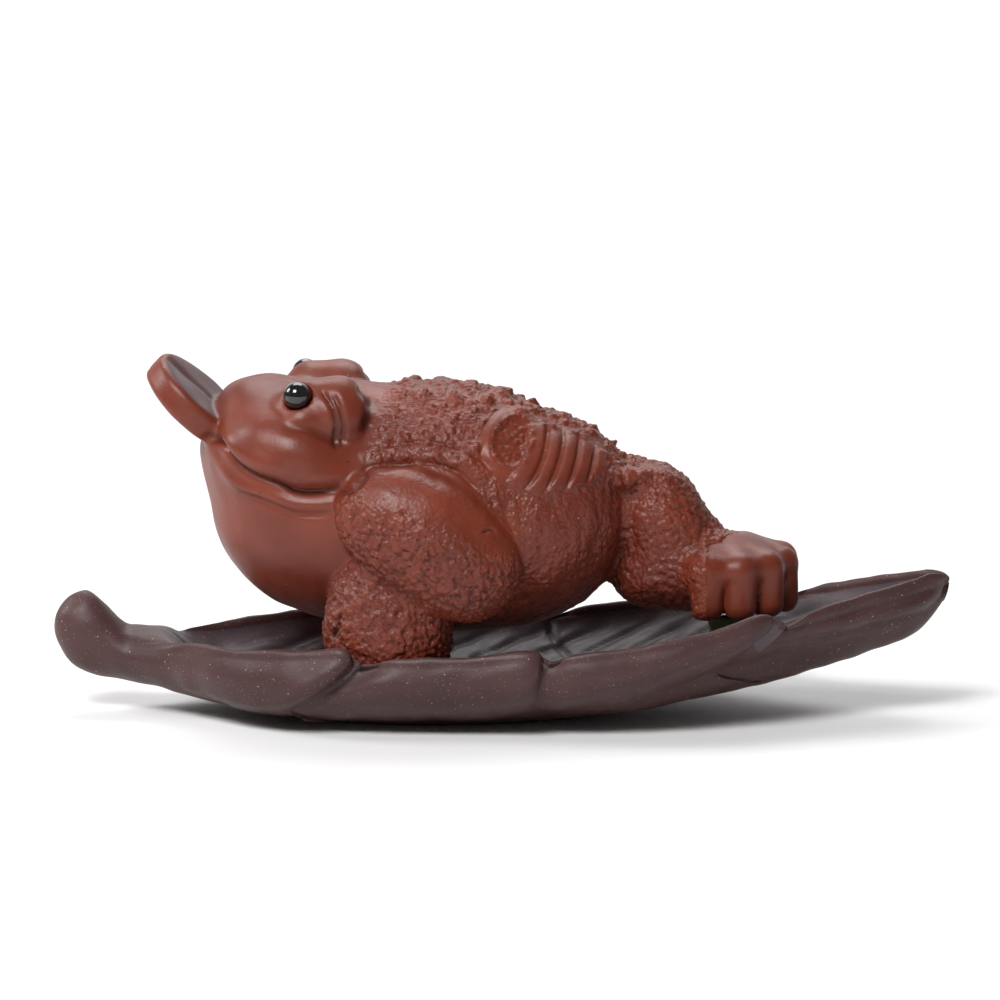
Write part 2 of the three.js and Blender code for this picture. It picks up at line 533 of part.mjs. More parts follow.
// Merges the two ends of one edge after another until few triangles are left, each time where the
// surface moves least, measured by the squared distances to the planes of the faces around it.
function simplified({ points, faces }, wanted) {
  const places = [];
  for (let i = 0; i < points.length; i += 3) places.push(new THREE.Vector3().fromArray(points, i));
  const triangles = [];
  const facesAt = places.map(() => new Set());
  const planes = places.map(() => new Float64Array(10));
  const normalOf = ([a, b, c], at = (n) => places[n]) => (
    at(b).clone().sub(at(a)).cross(at(c).clone().sub(at(a)))
  );
  for (let i = 0; i < faces.length; i += 3) {
    const triangle = [faces[i], faces[i + 1], faces[i + 2]];
    const normal = normalOf(triangle);
    const area = normal.length();
    normal.divideScalar(area || 1);
    const plane = [normal.x, normal.y, normal.z, -normal.dot(places[triangle[0]])];
    triangle.forEach((n) => {
      facesAt[n].add(triangles.length);
      for (let a = 0, m = 0; a < 4; a += 1) {
        for (let b = a; b < 4; b += 1, m += 1) planes[n][m] += area * plane[a] * plane[b];
      }
    });
    triangles.push(triangle);
  }
  const alive = triangles.map(() => true);
  const stamps = places.map(() => 0);
  const neighbours = (n) => {
    const around = new Set();
    facesAt[n].forEach((f) => triangles[f].forEach((other) => around.add(other)));
    around.delete(n);
    return around;
  };
  const costAt = (q, { x, y, z }) => (
    q[0] * x * x + q[4] * y * y + q[7] * z * z + q[9]
    + 2 * (q[1] * x * y + q[2] * x * z + q[5] * y * z + q[3] * x + q[6] * y + q[8] * z)
  );
  const queue = new Queue();
  const offer = (a, b) => {
    const q = planes[a].map((value, m) => value + planes[b][m]);
    const best = places[a].clone().lerp(places[b], 0.5);
    const system = new THREE.Matrix3(q[0], q[1], q[2], q[1], q[4], q[5], q[2], q[5], q[7]);
    const size = q[0] + q[4] + q[7];
    if (Math.abs(system.determinant()) > 1e-4 * size ** 3) {
      const solved = new THREE.Vector3(-q[3], -q[6], -q[8]).applyMatrix3(system.invert());
      if (solved.distanceTo(best) < places[a].distanceTo(places[b])) best.copy(solved);
    }
    const slender = 1e-5 * size * places[a].distanceToSquared(places[b]);
    queue.add({ cost: costAt(q, best) + slender, a, b, best, stamp: stamps[a] + stamps[b] });
  };
  const turnsOver = (keep, gone, best) => [...facesAt[keep], ...facesAt[gone]].some((f) => {
    const triangle = triangles[f];
    if (triangle.includes(keep) && triangle.includes(gone)) return false;
    const before = normalOf(triangle);
    const after = normalOf(triangle, (n) => (n === keep || n === gone ? best : places[n]));
    return after.dot(before) < 0.25 * after.length() * before.length() || after.length() < 1e-5;
  });
  places.forEach((_, a) => neighbours(a).forEach((b) => {
    if (a < b) offer(a, b);
  }));
  let left = triangles.length;
  while (left > wanted && queue.entries.length) {
    const { a, b, best, stamp } = queue.take();
    const fresh = facesAt[a].size && facesAt[b].size && stamp === stamps[a] + stamps[b];
    if (!fresh) continue;
    const around = neighbours(b);
    const shared = [...neighbours(a)].filter((n) => around.has(n));
    if (shared.length !== 2 || turnsOver(a, b, best)) continue;
    facesAt[b].forEach((f) => {
      if (triangles[f].includes(a)) {
        triangles[f].forEach((n) => n !== b && facesAt[n].delete(f));
        alive[f] = false;
        left -= 1;
      } else {
        triangles[f] = triangles[f].map((n) => (n === b ? a : n));
        facesAt[a].add(f);
      }
    });
    facesAt[b].clear();
    places[a].copy(best);
    planes[a] = planes[a].map((value, m) => value + planes[b][m]);
    stamps[a] += 1 + stamps[b];
    neighbours(a).forEach((n) => offer(a, n));
  }
  const used = new Map();
  const kept = triangles.filter((_, f) => alive[f]).flat();
  kept.forEach((n) => used.has(n) || used.set(n, used.size));
  return {
    points: [...used.keys()].flatMap((n) => places[n].toArray()),
    faces: kept.map((n) => used.get(n)),
  };
}

function geometryOf({ points, faces }) {
  const geometry = new THREE.BufferGeometry();
  geometry.setAttribute('position', new THREE.Float32BufferAttribute(points, 3));
  geometry.setIndex(faces);
  return geometry;
}

function named(name, geometry, looks) {
  const mesh = new THREE.Mesh(geometry, new THREE.MeshStandardMaterial(looks));
  mesh.name = name;
  return mesh;
}

const toadForm = meshOfForm(toadDistance, [-66.05, -33.05, 4.05], [58, 33, 66], GRID_CELL);
const piece = new THREE.Group();
piece.add(named('leaf_tray', geometryOf(leafMesh()), { color: 0x503e3c, roughness: 0.5, metalness: 0 }));
piece.add(named('toad', geometryOf(simplified(toadForm, TOAD_TRIANGLES)), {
  color: 0x96503c, roughness: 0.5, metalness: 0,
}));

// Eye beads: a ball each, with its poles facing out
['near', 'far'].forEach((side) => {
  const bead = named(`eye_bead_${side}`, new THREE.SphereGeometry(EYE_RADIUS, 14, 9), {
    color: 0x0b0b0d, roughness: 0.06, metalness: 0,
  });
  bead.position.set(EYE_CENTRE[0], side === 'near' ? -EYE_CENTRE[1] : EYE_CENTRE[1], EYE_CENTRE[2]);
  piece.add(bead);
});

// Pad: turned to a waist, standing on the highest spots of the leaf's hollow below its edge
const padSeats = Array.from({ length: PAD_SIDES }, (_, i) => {
  const around = (2 * Math.PI * i) / PAD_SIDES;
  const [x, y] = PAD_CENTRE;
  return leafHollow(x + PAD_RADIUS * Math.cos(around) + PAD_SEAT_LEAN, y + PAD_RADIUS * Math.sin(around));
});
const padBottom = Math.max(...padSeats) + TOUCH_GAP;
const padTop = FOOT_UNDERSIDE - TOUCH_GAP;
const padProfile = [[0, 0], [1, 0], [0.5, 0.5], [1, 1], [0, 1]].map(([wide, high]) => {
  const radius = wide === 0.5 ? PAD_WAIST : wide * PAD_RADIUS;
  return new THREE.Vector2(radius, high * (padTop - padBottom));
});
const pad = named('foot_pad', new THREE.LatheGeometry(padProfile, PAD_SIDES), {
  color: 0x5f6a3c, roughness: 0.25, metalness: 0,
});
pad.rotation.x = Math.PI / 2;
pad.position.set(PAD_CENTRE[0], PAD_CENTRE[1], padBottom);
piece.add(pad);

export default piece;
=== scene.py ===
"""Red clay toad with a coin in its mouth, on a curled leaf of dark clay."""

import math

import bpy
import numpy as np
import openvdb
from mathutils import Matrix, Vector


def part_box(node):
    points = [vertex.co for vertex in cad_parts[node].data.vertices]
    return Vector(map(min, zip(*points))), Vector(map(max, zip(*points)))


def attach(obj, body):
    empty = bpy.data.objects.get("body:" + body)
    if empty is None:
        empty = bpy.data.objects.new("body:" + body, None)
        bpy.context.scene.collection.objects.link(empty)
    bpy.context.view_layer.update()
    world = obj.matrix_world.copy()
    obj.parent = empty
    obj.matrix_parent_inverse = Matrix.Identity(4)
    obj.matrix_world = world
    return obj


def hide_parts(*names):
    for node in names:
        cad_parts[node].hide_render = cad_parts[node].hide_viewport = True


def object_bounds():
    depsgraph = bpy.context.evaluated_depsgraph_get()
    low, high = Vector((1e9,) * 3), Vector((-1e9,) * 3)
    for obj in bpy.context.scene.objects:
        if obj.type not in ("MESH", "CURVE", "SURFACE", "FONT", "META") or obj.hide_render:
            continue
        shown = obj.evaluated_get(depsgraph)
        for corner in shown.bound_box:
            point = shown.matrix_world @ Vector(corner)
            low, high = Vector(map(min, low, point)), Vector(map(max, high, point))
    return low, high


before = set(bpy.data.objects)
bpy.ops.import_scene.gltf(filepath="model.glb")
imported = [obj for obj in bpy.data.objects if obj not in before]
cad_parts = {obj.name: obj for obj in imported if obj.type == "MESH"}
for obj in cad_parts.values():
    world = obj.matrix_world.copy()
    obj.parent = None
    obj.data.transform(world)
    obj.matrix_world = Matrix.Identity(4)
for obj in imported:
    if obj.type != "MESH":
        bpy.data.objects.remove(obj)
solid_low, solid_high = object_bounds()


# Leaf tray: one sheet of dark purple-brown clay, pressed by hand into a boat shape. Its edge is
# rolled into lobes that end over one another, the veins are drawn in with a blunt point, and the
# stem is rolled to a stalk. It is fired bare and is satin from handling and tea.
MM = 0.001
LEAF_HALF_LENGTH = 80.3
LEAF_WALL = 3.6
LEAF_FLOOR = 4.4
LEAF_BULGE = 3
LEAF_OUTER_BULGE = 2.5
LEAF_FAR_BULGE = 1.9
EDGE_LEAN = {"in": 1.3, "reach": 6}
LEAF_LOWEST_X = -12
LEAF_SWEEP = 0.00195
LEAF_FOOT_DEPTH = 1.1
LEAF_RIM = 12.7
LEAF_TAIL = {"from": -15, "sweep": 0.00135}
LEAF_FAR_DROP = {"depth": 1.2, "from": 66, "to": 50}
LEAF_STEM = {"from": -66, "to": -74.5, "rise": 6.9}
LEAF_FILLED = {"from": -50, "to": -62, "crown": 1.5}
LEAF_CAP = 0.45
STALK = {"from": -54, "to": -64, "rim": 112, "lip": 130}
STEM_END = {"height": 14.5, "rounding": 6.5}
TIP_END = {"height": 24, "rounding": 9}
LEAF_HALF_WIDTHS = [
    (-80.3, 5.4), (-70, 5.8), (-60, 9.5), (-55, 15), (-48, 21.5), (-38, 27), (-20, 30.5),
    (5, 31.5), (30, 29.5), (47, 23.5), (60, 15), (70, 9.5), (80.3, 6),
]
LOBES = [(-58, -24.5, 2.4), (-24.5, 8.6, 1.4), (8.6, 49.5, 2.3)]
LOBE_ROUNDING = 4
LOBE_RISE = 0.75
LOBE_SPREAD = 0.6
LOBE_CURLS = (20, 3, 18)
LOBE_CURL_FADE = (0.65, 1.0)
LOBE_STEPS = (1.7, 1.5, 1.7)
LOBE_RECOVERS = (4.5, 3.5, 5)
LEAF_RINGS = 430
LEAF_OUTER_POINTS = 84
LEAF_INNER_POINTS = 72
LEAF_ROLL_POINTS = 11
VEIN_ROOTS = [-56, -46, -36, -26, -16, -6, 4, 14, 24, 34, 44, 54]
VEIN_SWEEP = (7, 19)
VEIN_DEPTH = 0.5
VEIN_WIDTH = 0.7
MIDRIB_DEPTH = 0.5


def smooth_step(low, high, value):
    t = np.clip((value - low) / (high - low), 0, 1)
    return t * t * (3 - 2 * t)


def bell(value, width):
    return np.exp(-((value / width) ** 2))


def through(stations):
    """A smooth line through a few stations, read at any x."""
    places, values = np.array(stations, float).T
    slopes = np.gradient(values)
    slopes[1:-1] = (values[2:] - values[:-2]) / (places[2:] - places[:-2])
    slopes[0] = (values[1] - values[0]) / (places[1] - places[0])
    slopes[-1] = (values[-1] - values[-2]) / (places[-1] - places[-2])

    def line(x):
        i = np.clip(np.searchsorted(places, x) - 1, 0, len(places) - 2)
        width = places[i + 1] - places[i]
        t = np.clip((x - places[i]) / width, 0, 1)
        s = 1 - t
        bend = t * s * (s * slopes[i] - t * slopes[i + 1]) * width
        return s * s * (1 + 2 * t) * values[i] + t * t * (1 + 2 * s) * values[i + 1] + bend

    return line


leaf_half_width = through(LEAF_HALF_WIDTHS)


def lobe_swell(x):
    """How far each lobe of the edge has swollen at x: slowly up to its end, then rounded off."""
    swell = np.zeros_like(x)
    for start, end, most in LOBES:
        grown = (np.clip(x - start, 0, None) / (end - start)) ** 1.4
        last = np.clip(1 - (end - x) / LOBE_ROUNDING, 0, 1)
        swell = np.where((x > start) & (x < end), most * grown * np.sqrt(1 - last**2), swell)
    return swell


def leaf_section(x, side):
    """The leaf's cross-section at x: keel, rim, half-width, wall, cap, floor and brim."""
    height = np.where(x < 0, STEM_END["height"], TIP_END["height"])
    rounding = np.where(x < 0, STEM_END["rounding"], TIP_END["rounding"])
    past = np.clip(np.abs(x) - LEAF_HALF_LENGTH + rounding, 0, None) / rounding
    end = np.sqrt(np.clip(1 - past**2, 0.01, None))
    stem = LEAF_STEM["rise"] * smooth_step(LEAF_STEM["from"], LEAF_STEM["to"], x)
    tail = LEAF_TAIL["sweep"] * np.clip(x - LEAF_TAIL["from"], 0, None) ** 2
    far = np.where(side > 0, smooth_step(LEAF_FAR_DROP["from"], LEAF_FAR_DROP["to"], np.abs(x)), 0)
    keel_free = LEAF_SWEEP * (x - LEAF_LOWEST_X) ** 2 - LEAF_FOOT_DEPTH
    rim_free = LEAF_RIM + tail + stem + LOBE_RISE * lobe_swell(x) - LEAF_FAR_DROP["depth"] * far
    keel = height + (keel_free - height) * end
    rim = height + (rim_free - height) * end
    half_width = leaf_half_width(x) * end + LOBE_SPREAD * lobe_swell(x)
    wall = np.minimum(LEAF_WALL, half_width * 0.6)
    deepest = np.maximum(rim - keel, 0.2)
    filled = smooth_step(LEAF_FILLED["from"], LEAF_FILLED["to"], x)
    cap = LEAF_CAP * np.minimum(wall, deepest)
    open_floor = np.minimum(LEAF_FLOOR, 0.8 * deepest)
    floor = keel + open_floor + filled * (deepest + LEAF_FILLED["crown"] * cap - open_floor)
    return keel, rim, half_width, wall, cap, floor, rim + filled * cap


def leaf_hollow(x, y):
    """Height of the leaf's hollow above the table."""
    _, _, half_width, wall, _, floor, brim = leaf_section(x, y)
    across = np.clip(np.abs(y) / (half_width - wall), 0, 1)
    return brim - (brim - floor) * (1 - across**LEAF_BULGE) ** (1 / LEAF_BULGE)


def leaf_wall(u, angle, inner):
    """Places on the outer or inner skin; the angle goes from -90 at the near rim to 90 at the far one."""
    keel, rim, half_width, wall, _, floor, brim = leaf_section(u, angle)
    turn = np.radians(np.abs(angle))
    bulge = np.where(angle > 0, LEAF_FAR_BULGE, LEAF_BULGE) if inner else LEAF_OUTER_BULGE
    reach = (np.sin(turn) ** bulge + np.cos(turn) ** bulge) ** (-1 / bulge)
    across = np.sin(turn) * reach
    depth = np.cos(turn) * reach
    top, low = (brim, floor) if inner else (rim, keel)
    z = np.maximum(top - depth * (top - low), 0)
    lean = 0 if inner else EDGE_LEAN["in"] * np.clip(1 - (rim - z) / EDGE_LEAN["reach"], 0, 1) ** 2
    y = np.sign(angle) * (across * (half_width - wall * inner) - np.minimum(lean, wall / 2.5))
    below = np.clip(rim - z, 0, None) / np.maximum(rim - keel, 1)
    shift = below**1.3 * (1 - smooth_step(*LOBE_CURL_FADE, below))
    curl = sum(reach * bell(u - end, 18) for reach, (_, end, _) in zip(LOBE_CURLS, LOBES))
    return np.stack([u - curl * shift, y, z], -1)


def leaf_roll(u, side, turn):
    """Places on the rounded rim; the turn goes from 0 outside to 180 inside."""
    _, rim, half_width, wall, cap, _, brim = leaf_section(u, side)
    a = np.radians(turn)
    outer = half_width - np.minimum(EDGE_LEAN["in"], wall / 2.5)
    inner = half_width - wall
    y = side * ((outer + inner) / 2 + (outer - inner) / 2 * np.cos(a))
    level = rim + (brim - rim) * smooth_step(90, 180, turn)
    return np.stack([u, y, level + (rim + cap - level) * np.sin(a)], -1)


def stalk(u, turn):
    """Places round the rolled stalk; the turn is counted from its underside."""
    keel, rim, half_width, wall, cap, _, _ = leaf_section(u, turn)
    top = rim + LEAF_FILLED["crown"] * cap
    a = np.radians(turn)
    return np.stack([u, half_width * np.sin(a), (keel + top) / 2 - (top - keel) / 2 * np.cos(a)], -1)


def leaf_stations():
    """Places of the rings: even along the leaf, closer where a lobe ends and at the leaf's ends."""
    x = np.linspace(-1, 1, 4001)
    crowd = 1 + 1.5 * np.abs(x) ** 24
    for _, end, _ in LOBES:
        crowd += 3 * bell(x * LEAF_HALF_LENGTH - end + 1, 3.5)
    run = np.concatenate([[0], np.cumsum((crowd[1:] + crowd[:-1]) / 2)])
    return LEAF_HALF_LENGTH * np.interp(np.linspace(0, run[-1], LEAF_RINGS), run, x)


def mesh_object(name, points, faces):
    """An object of that name with its places in millimetres and its faces smooth."""
    mesh = bpy.data.meshes.new(name)
    mesh.from_pydata((np.asarray(points) * MM).tolist(), [], faces)
    mesh.shade_smooth()
    made = bpy.data.objects.new(name, mesh)
    bpy.context.scene.collection.objects.link(made)
    return made


def places_of(made):
    """Vertex places of an object in millimetres, and their outward directions."""
    places = np.empty(len(made.data.vertices) * 3, np.float32)
    made.data.vertices.foreach_get("co", places)
    normals = np.empty_like(places)
    made.data.vertex_normals.foreach_get("vector", normals)
    return places.reshape(-1, 3) / MM, normals.reshape(-1, 3)


def press(made, height):
    """Raises an object's surface by a height in millimetres at each vertex."""
    places, normals = places_of(made)
    moved = (places + normals * np.asarray(height)[:, None]) * MM
    moved = np.clip(moved, solid_low, solid_high)
    made.data.vertices.foreach_set("co", moved.astype(np.float32).ravel())
    made.data.update()


def give(made, name, values):
    """Keeps one number a vertex under a name, for the finish to read."""
    kept = made.data.attributes.new(name, "FLOAT", "POINT")
    kept.data.foreach_set("value", np.asarray(values, np.float32))


def hand_waves(places, pitch, seed, count=14):
    """Slow unevenness of hand work, from -1 to 1: a few waves of random direction and phase."""
    draw = np.random.default_rng(seed)
    total = np.zeros(len(places))
    for _ in range(count):
        direction = draw.normal(size=3)
        direction *= draw.uniform(0.6, 1.4) * 2 * np.pi / pitch / np.linalg.norm(direction)
        total += np.sin(places @ direction + draw.uniform(0, 2 * np.pi))
    return total / np.sqrt(count)


def make_leaf():
    u = leaf_stations()
    outer = np.linspace(-90, 90, LEAF_OUTER_POINTS)
    inner = np.linspace(90, -90, LEAF_INNER_POINTS)
    rolled = np.linspace(0, 180, LEAF_ROLL_POINTS + 2)[1:-1]
    here = u[:, None]
    ring = np.concatenate([
        leaf_wall(here + 0 * outer, outer + 0 * here, False),
        leaf_roll(here + 0 * rolled, 1.0, rolled + 0 * here),
        leaf_wall(here + 0 * inner, inner + 0 * here, True),
        leaf_roll(here + 0 * rolled, -1.0, rolled[::-1] + 0 * here),
    ], 1)
    turn = np.concatenate([
        outer * STALK["rim"] / 90,
        STALK["rim"] + (STALK["lip"] - STALK["rim"]) * rolled / 180,
        180 - inner * (180 - STALK["lip"]) / 90,
        -STALK["rim"] - (STALK["lip"] - STALK["rim"]) * rolled[::-1] / 180,
    ])
    round_here = smooth_step(STALK["from"], STALK["to"], u)[:, None, None]
    ring += round_here * (stalk(here + 0 * turn, turn + 0 * here) - ring)
    rings, size, _ = ring.shape
    number = np.arange(rings * size).reshape(rings, size)
    beside = np.roll(number, -1, 1)
    quads = np.stack([number[:-1], beside[:-1], beside[1:], number[1:]], -1).reshape(-1, 4).tolist()
    ends = [(0, number[0][::-1]), (-1, number[-1])]
    points = [*ring.reshape(-1, 3), *(ring[i].mean(0) for i, _ in ends)]
    for k, (_, loop) in enumerate(ends):
        centre = rings * size + k
        quads += [(int(a), int(b), centre) for a, b in zip(loop, np.roll(loop, -1))]
    made = mesh_object("leaf_tray_clay", points, quads)
    inside = np.zeros((rings, size))
    inside[:, LEAF_OUTER_POINTS + LEAF_ROLL_POINTS + 1:size - LEAF_ROLL_POINTS - 1] = 1
    inside *= 1 - round_here[:, :, 0]
    ring_at = np.repeat(u, size)
    return made, np.append(inside.ravel(), [0, 0]), np.append(ring_at, [u[0], u[-1]])


leaf, inside, u = make_leaf()
spots, _ = places_of(leaf)
x, y, z = spots.T
keel, rim, half_width, wall, *_ = leaf_section(u, y)
outside = 1 - inside
down = rim - z
below = np.clip(down / np.maximum(rim - keel, 1), 0, 1)
out = np.clip(np.abs(y) / np.maximum(half_width - wall, 1), 0, 1)
drawn = VEIN_SWEEP[0] * out + VEIN_SWEEP[1] * out**3
slope = (VEIN_SWEEP[0] + 3 * VEIN_SWEEP[1] * out**2) / np.maximum(half_width - wall, 1)
blade = inside * smooth_step(0.03, 0.15, out) * smooth_step(1.02, 0.85, out)
away = np.min([np.abs(x - root - drawn) for root in VEIN_ROOTS], 0) / np.hypot(1, slope)
veins = blade * bell(away, VEIN_WIDTH)
height = -VEIN_DEPTH * veins + 0.22 * blade * bell(away - 1.9, 0.9)
height -= 0.07 * blade * np.cos(2 * np.pi * (x - drawn) / np.hypot(1, slope) / 1.7)
height -= MIDRIB_DEPTH * inside * bell(y, 0.9) * smooth_step(-60, -54, x) * smooth_step(78, 66, x)
tip_lobe = smooth_step(50, 58, u) * smooth_step(80, 74, u)
height -= outside * tip_lobe * (0.5 * bell(down - 1.4, 0.6) + 0.35 * bell(down - 5.2, 0.8))
height += outside * tip_lobe * 0.3 * bell(down - 3.2, 1)
for (_, end, _), step, recover in zip(LOBES, LOBE_STEPS, LOBE_RECOVERS):
    past = u - end
    shallow = 1 - smooth_step(0.3, 0.9, below)
    sunk = np.where(past > 0, bell(past, recover), 0.6 * bell(past, 1.1))
    height -= outside * shallow * step * sunk
    height += outside * shallow * 0.45 * bell(past + 4.5, 3)
    height -= inside * 0.6 * bell(past - 14 * (1 - out), 0.9) * smooth_step(0.25, 0.8, out)
height += 0.22 * hand_waves(spots, 16, 3) + 0.08 * hand_waves(spots, 5, 4)
height -= 0.28
height *= smooth_step(0.02, 0.8, z)
press(leaf, height)
# The vein mask is kept for the painted shade in the vein grooves.
give(leaf, "vein_shade", veins)
# The inside mask also carries the painted sheen and painted light of the leaf's finish.
give(leaf, "inside", inside)


class Wire:
    """One output of a node; arithmetic on wires adds Math nodes to the same tree."""

    def __init__(self, recipe, socket):
        self.recipe = recipe
        self.socket = socket

    def maths(self, operation, *values):
        return self.recipe.node("ShaderNodeMath", {"operation": operation}, dict(enumerate(values)))

    def __add__(self, other):
        return self.maths("ADD", self, other)

    def __sub__(self, other):
        return self.maths("SUBTRACT", self, other)

    def __rsub__(self, other):
        return self.maths("SUBTRACT", other, self)

    def __mul__(self, other):
        return self.maths("MULTIPLY", self, other)

    __radd__ = __add__
    __rmul__ = __mul__


class Recipe:
    """A node tree, of a finish or of a skin, written as steps."""

    def __init__(self, tree):
        self.tree = tree
        tree.nodes.clear()

    def node(self, kind, settings=None, sockets=None, output=0):
        made = self.tree.nodes.new(kind)
        for name, value in (settings or {}).items():
            setattr(made, name, value)
        for key, value in (sockets or {}).items():
            if isinstance(value, Wire):
                self.tree.links.new(value.socket, made.inputs[key])
            else:
                made.inputs[key].default_value = value
        return Wire(self, made.outputs[output]) if made.outputs else None

    def step(self, value, low, high):
        """0 below low, 1 above high and smooth between."""
        ends = {"Value": value, "From Min": low, "From Max": high}
        return self.node("ShaderNodeMapRange", {"interpolation_type": "SMOOTHSTEP"}, ends)

    def blend(self, factor, first, second):
        """A colour between two."""
        return self.node("ShaderNodeMix", {"data_type": "RGBA"}, {0: factor, 6: first, 7: second}, 2)

    def noise(self, place, pitch, detail=2.0):
        """Soft noise from 0 to 1 whose lumps are pitch millimetres apart."""
        sockets = {"Vector": place, "Scale": 1 / pitch, "Detail": detail}
        return self.node("ShaderNodeTexNoise", None, sockets)

    def cells(self, place, pitch, feature="F1", output="Distance"):
        """Cells of that pitch in millimetres: distance to their middle or edge, or a random colour."""
        sockets = {"Vector": place, "Scale": 1 / pitch}
        return self.node("ShaderNodeTexVoronoi", {"feature": feature}, sockets, output)

    def specks(self, place, pitch, radius):
        """Small round specks, 1 inside."""
        return 1 - self.step(self.cells(place, pitch), 0.6 * radius / pitch, radius / pitch)

    def attribute(self, name):
        return self.node("ShaderNodeAttribute", {"attribute_name": name}, None, "Fac")

    def bump(self, height):
        """A normal from a height in millimetres."""
        return self.node("ShaderNodeBump", None, {"Distance": MM, "Height": height})

    def shader(self, sockets):
        surface = self.node("ShaderNodeBsdfPrincipled", None, sockets)
        self.node("ShaderNodeOutputMaterial", None, {"Surface": surface})


def finish_named(name):
    """A new material, its recipe and the place on the piece in millimetres."""
    material = bpy.data.materials.new(name)
    material.use_nodes = True
    recipe = Recipe(material.node_tree)
    place = recipe.node("ShaderNodeTexCoord", None, None, "Object")
    scaled = recipe.node("ShaderNodeVectorMath", {"operation": "SCALE"}, {0: place, "Scale": 1 / MM})
    return material, recipe, scaled


def leaf_finish():
    material, recipe, place = finish_named("leaf_clay")
    cloud = recipe.noise(place, 14, 3.0)
    base = recipe.blend(recipe.step(cloud, 0.3, 0.7), (0.054, 0.024, 0.023, 1), (0.074, 0.034, 0.033, 1))
    # Painted sheen and painted light: the inside of the leaf is painted a lighter lilac grey, standing in for
    # the grazing sheen on the hollow and lifting it where the toad's shadow falls in it.
    base = recipe.blend(recipe.attribute("inside") * 0.8, base, (0.1, 0.078, 0.09, 1))
    # Painted shade: the drawn veins are painted darker, as the shade inside their grooves.
    base = recipe.blend(recipe.attribute("vein_shade") * 0.6, base, (0.03, 0.022, 0.026, 1))
    mica = recipe.specks(place, 1.7, 0.15) + recipe.specks(place, 0.62, 0.075)
    grains = recipe.noise(place, 0.32, 2.0)
    base = recipe.blend(mica * 0.8, base, (0.42, 0.3, 0.24, 1))
    height = 0.035 * grains + 0.03 * recipe.noise(place, 1.1, 3.0)
    recipe.shader({
        "Base Color": base,
        "Roughness": 0.4 + 0.14 * recipe.noise(place, 5, 4.0) - 0.15 * mica,
        "Normal": recipe.bump(height),
        "Specular IOR Level": 0.34,
    })
    return material


leaf.data.materials.append(leaf_finish())
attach(leaf, "root")
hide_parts("leaf_tray")


# Toad: one hollow casting of fine red clay, with three legs and a coin held in its mouth. The
# skin was worked with a point before firing: warts on the back, leathery cells on the limbs,
# a swirl with curved bands on each thigh. Head, throat and toes are burnished smooth.
COIN_RADIUS = 10.6
COIN_THICKNESS = 5
COIN_EDGE = 1.3
COIN_CENTRE = (-54, 0, 55.4)
COIN_TILT = 43
COIN_ROLL = 6.5
EYE_RADIUS = 2.45
EYE_CENTRE = (-35.4, 16.5, 58.9)
TOUCH_GAP = 0.3
FOOT_CENTRE = (37.7, 0)
FOOT_UNDERSIDE = 18.4
TOE_ANGLES = [94 - 27 * i for i in range(5)]
TOE_RADIUS = 3
TOE_JOINTS = [(6.5, 28.6), (12.8, 27.2), (12.9, 21)]
FRONT_TOE_ANGLES = [-14, 8, 30, 52]
FRONT_TOE_HEEL = (-21.5, 18.5)
FRONT_TOE_REACH = 8.8
FRONT_TOE_SPREAD = 0.55
FRONT_TOE_RADIUS = 2
FRONT_TOE_HEIGHT = 8.6
TRUNK_LUMPS = [
    ((-26.8, 0, 38), (24.6, 21.5, 21.4), 0, 1),
    ((-37.6, 0, 44.6), (16.3, 18.5, 11.2), -18, 4),
    ((-7, 0, 36), (29, 23.5, 21.2), -4, 4),
    ((-9, 0, 45.3), (18, 19, 13.4), -7, 4),
    ((7.7, 0, 34.8), (13.8, 20.5, 17.4), -28, 5),
    ((19.5, 0, 40.4), (6.5, 7, 5.4), -35, 3),
    ((-36, 0, 51), (14.8, 20.5, 8.2), -6, 2),
    ((-41.8, 0, 53.2), (9.2, 11.5, 7.4), -8, 2),
]
LEG_LUMPS = [
    ((27.2, 0, 35.8), (8.6, 10, 8.4), -44, 3),
    ((27.8, 0, 31), (6.8, 9.5, 10.5), -8, 3),
    ((32.4, -1, 28), (9.2, 10.6, 9), -50, 4),
    ((37.8, -1.5, 25), (11.5, 11.5, 7), -10, 3),
    ((26.8, -1.5, 24.8), (6.5, 9, 5.4), 0, 3),
]
HEAD_PAIRS = [
    ((-34.5, 12.5, 48), (14, 9.8, 6.2), -12, 2.5),
    ((-28.6, 12, 54.8), (6.4, 7.2, 7), 0, 1.4),
    ((-34, 12.6, 56.2), (5.2, 5.2, 5.2), 0, 2),
    ((-34.4, 16.6, 54.6), (3, 2.2, 2), 0, 1.5),
]
ARM_PAIRS = [
    ((-12, 21.5, 34), (17.6, 9.4, 11), -30, 1.4),
    ((-7, 22, 28), (9, 8, 8), -30, 2),
    ((-19.4, 18, 17.5), (11.4, 8.4, 15), 0, 1.6),
]
HIP_PAIRS = [((29, 5.6, 36.4), (6, 5, 5.4), -50, 4)]
RUMP_STRAP = [(14.5, 8.5, 46.2), (19.5, 7.6, 43.4), (24, 7, 42.6), (28.5, 6, 42)]
RUMP_STRAP_RADIUS = 1.8
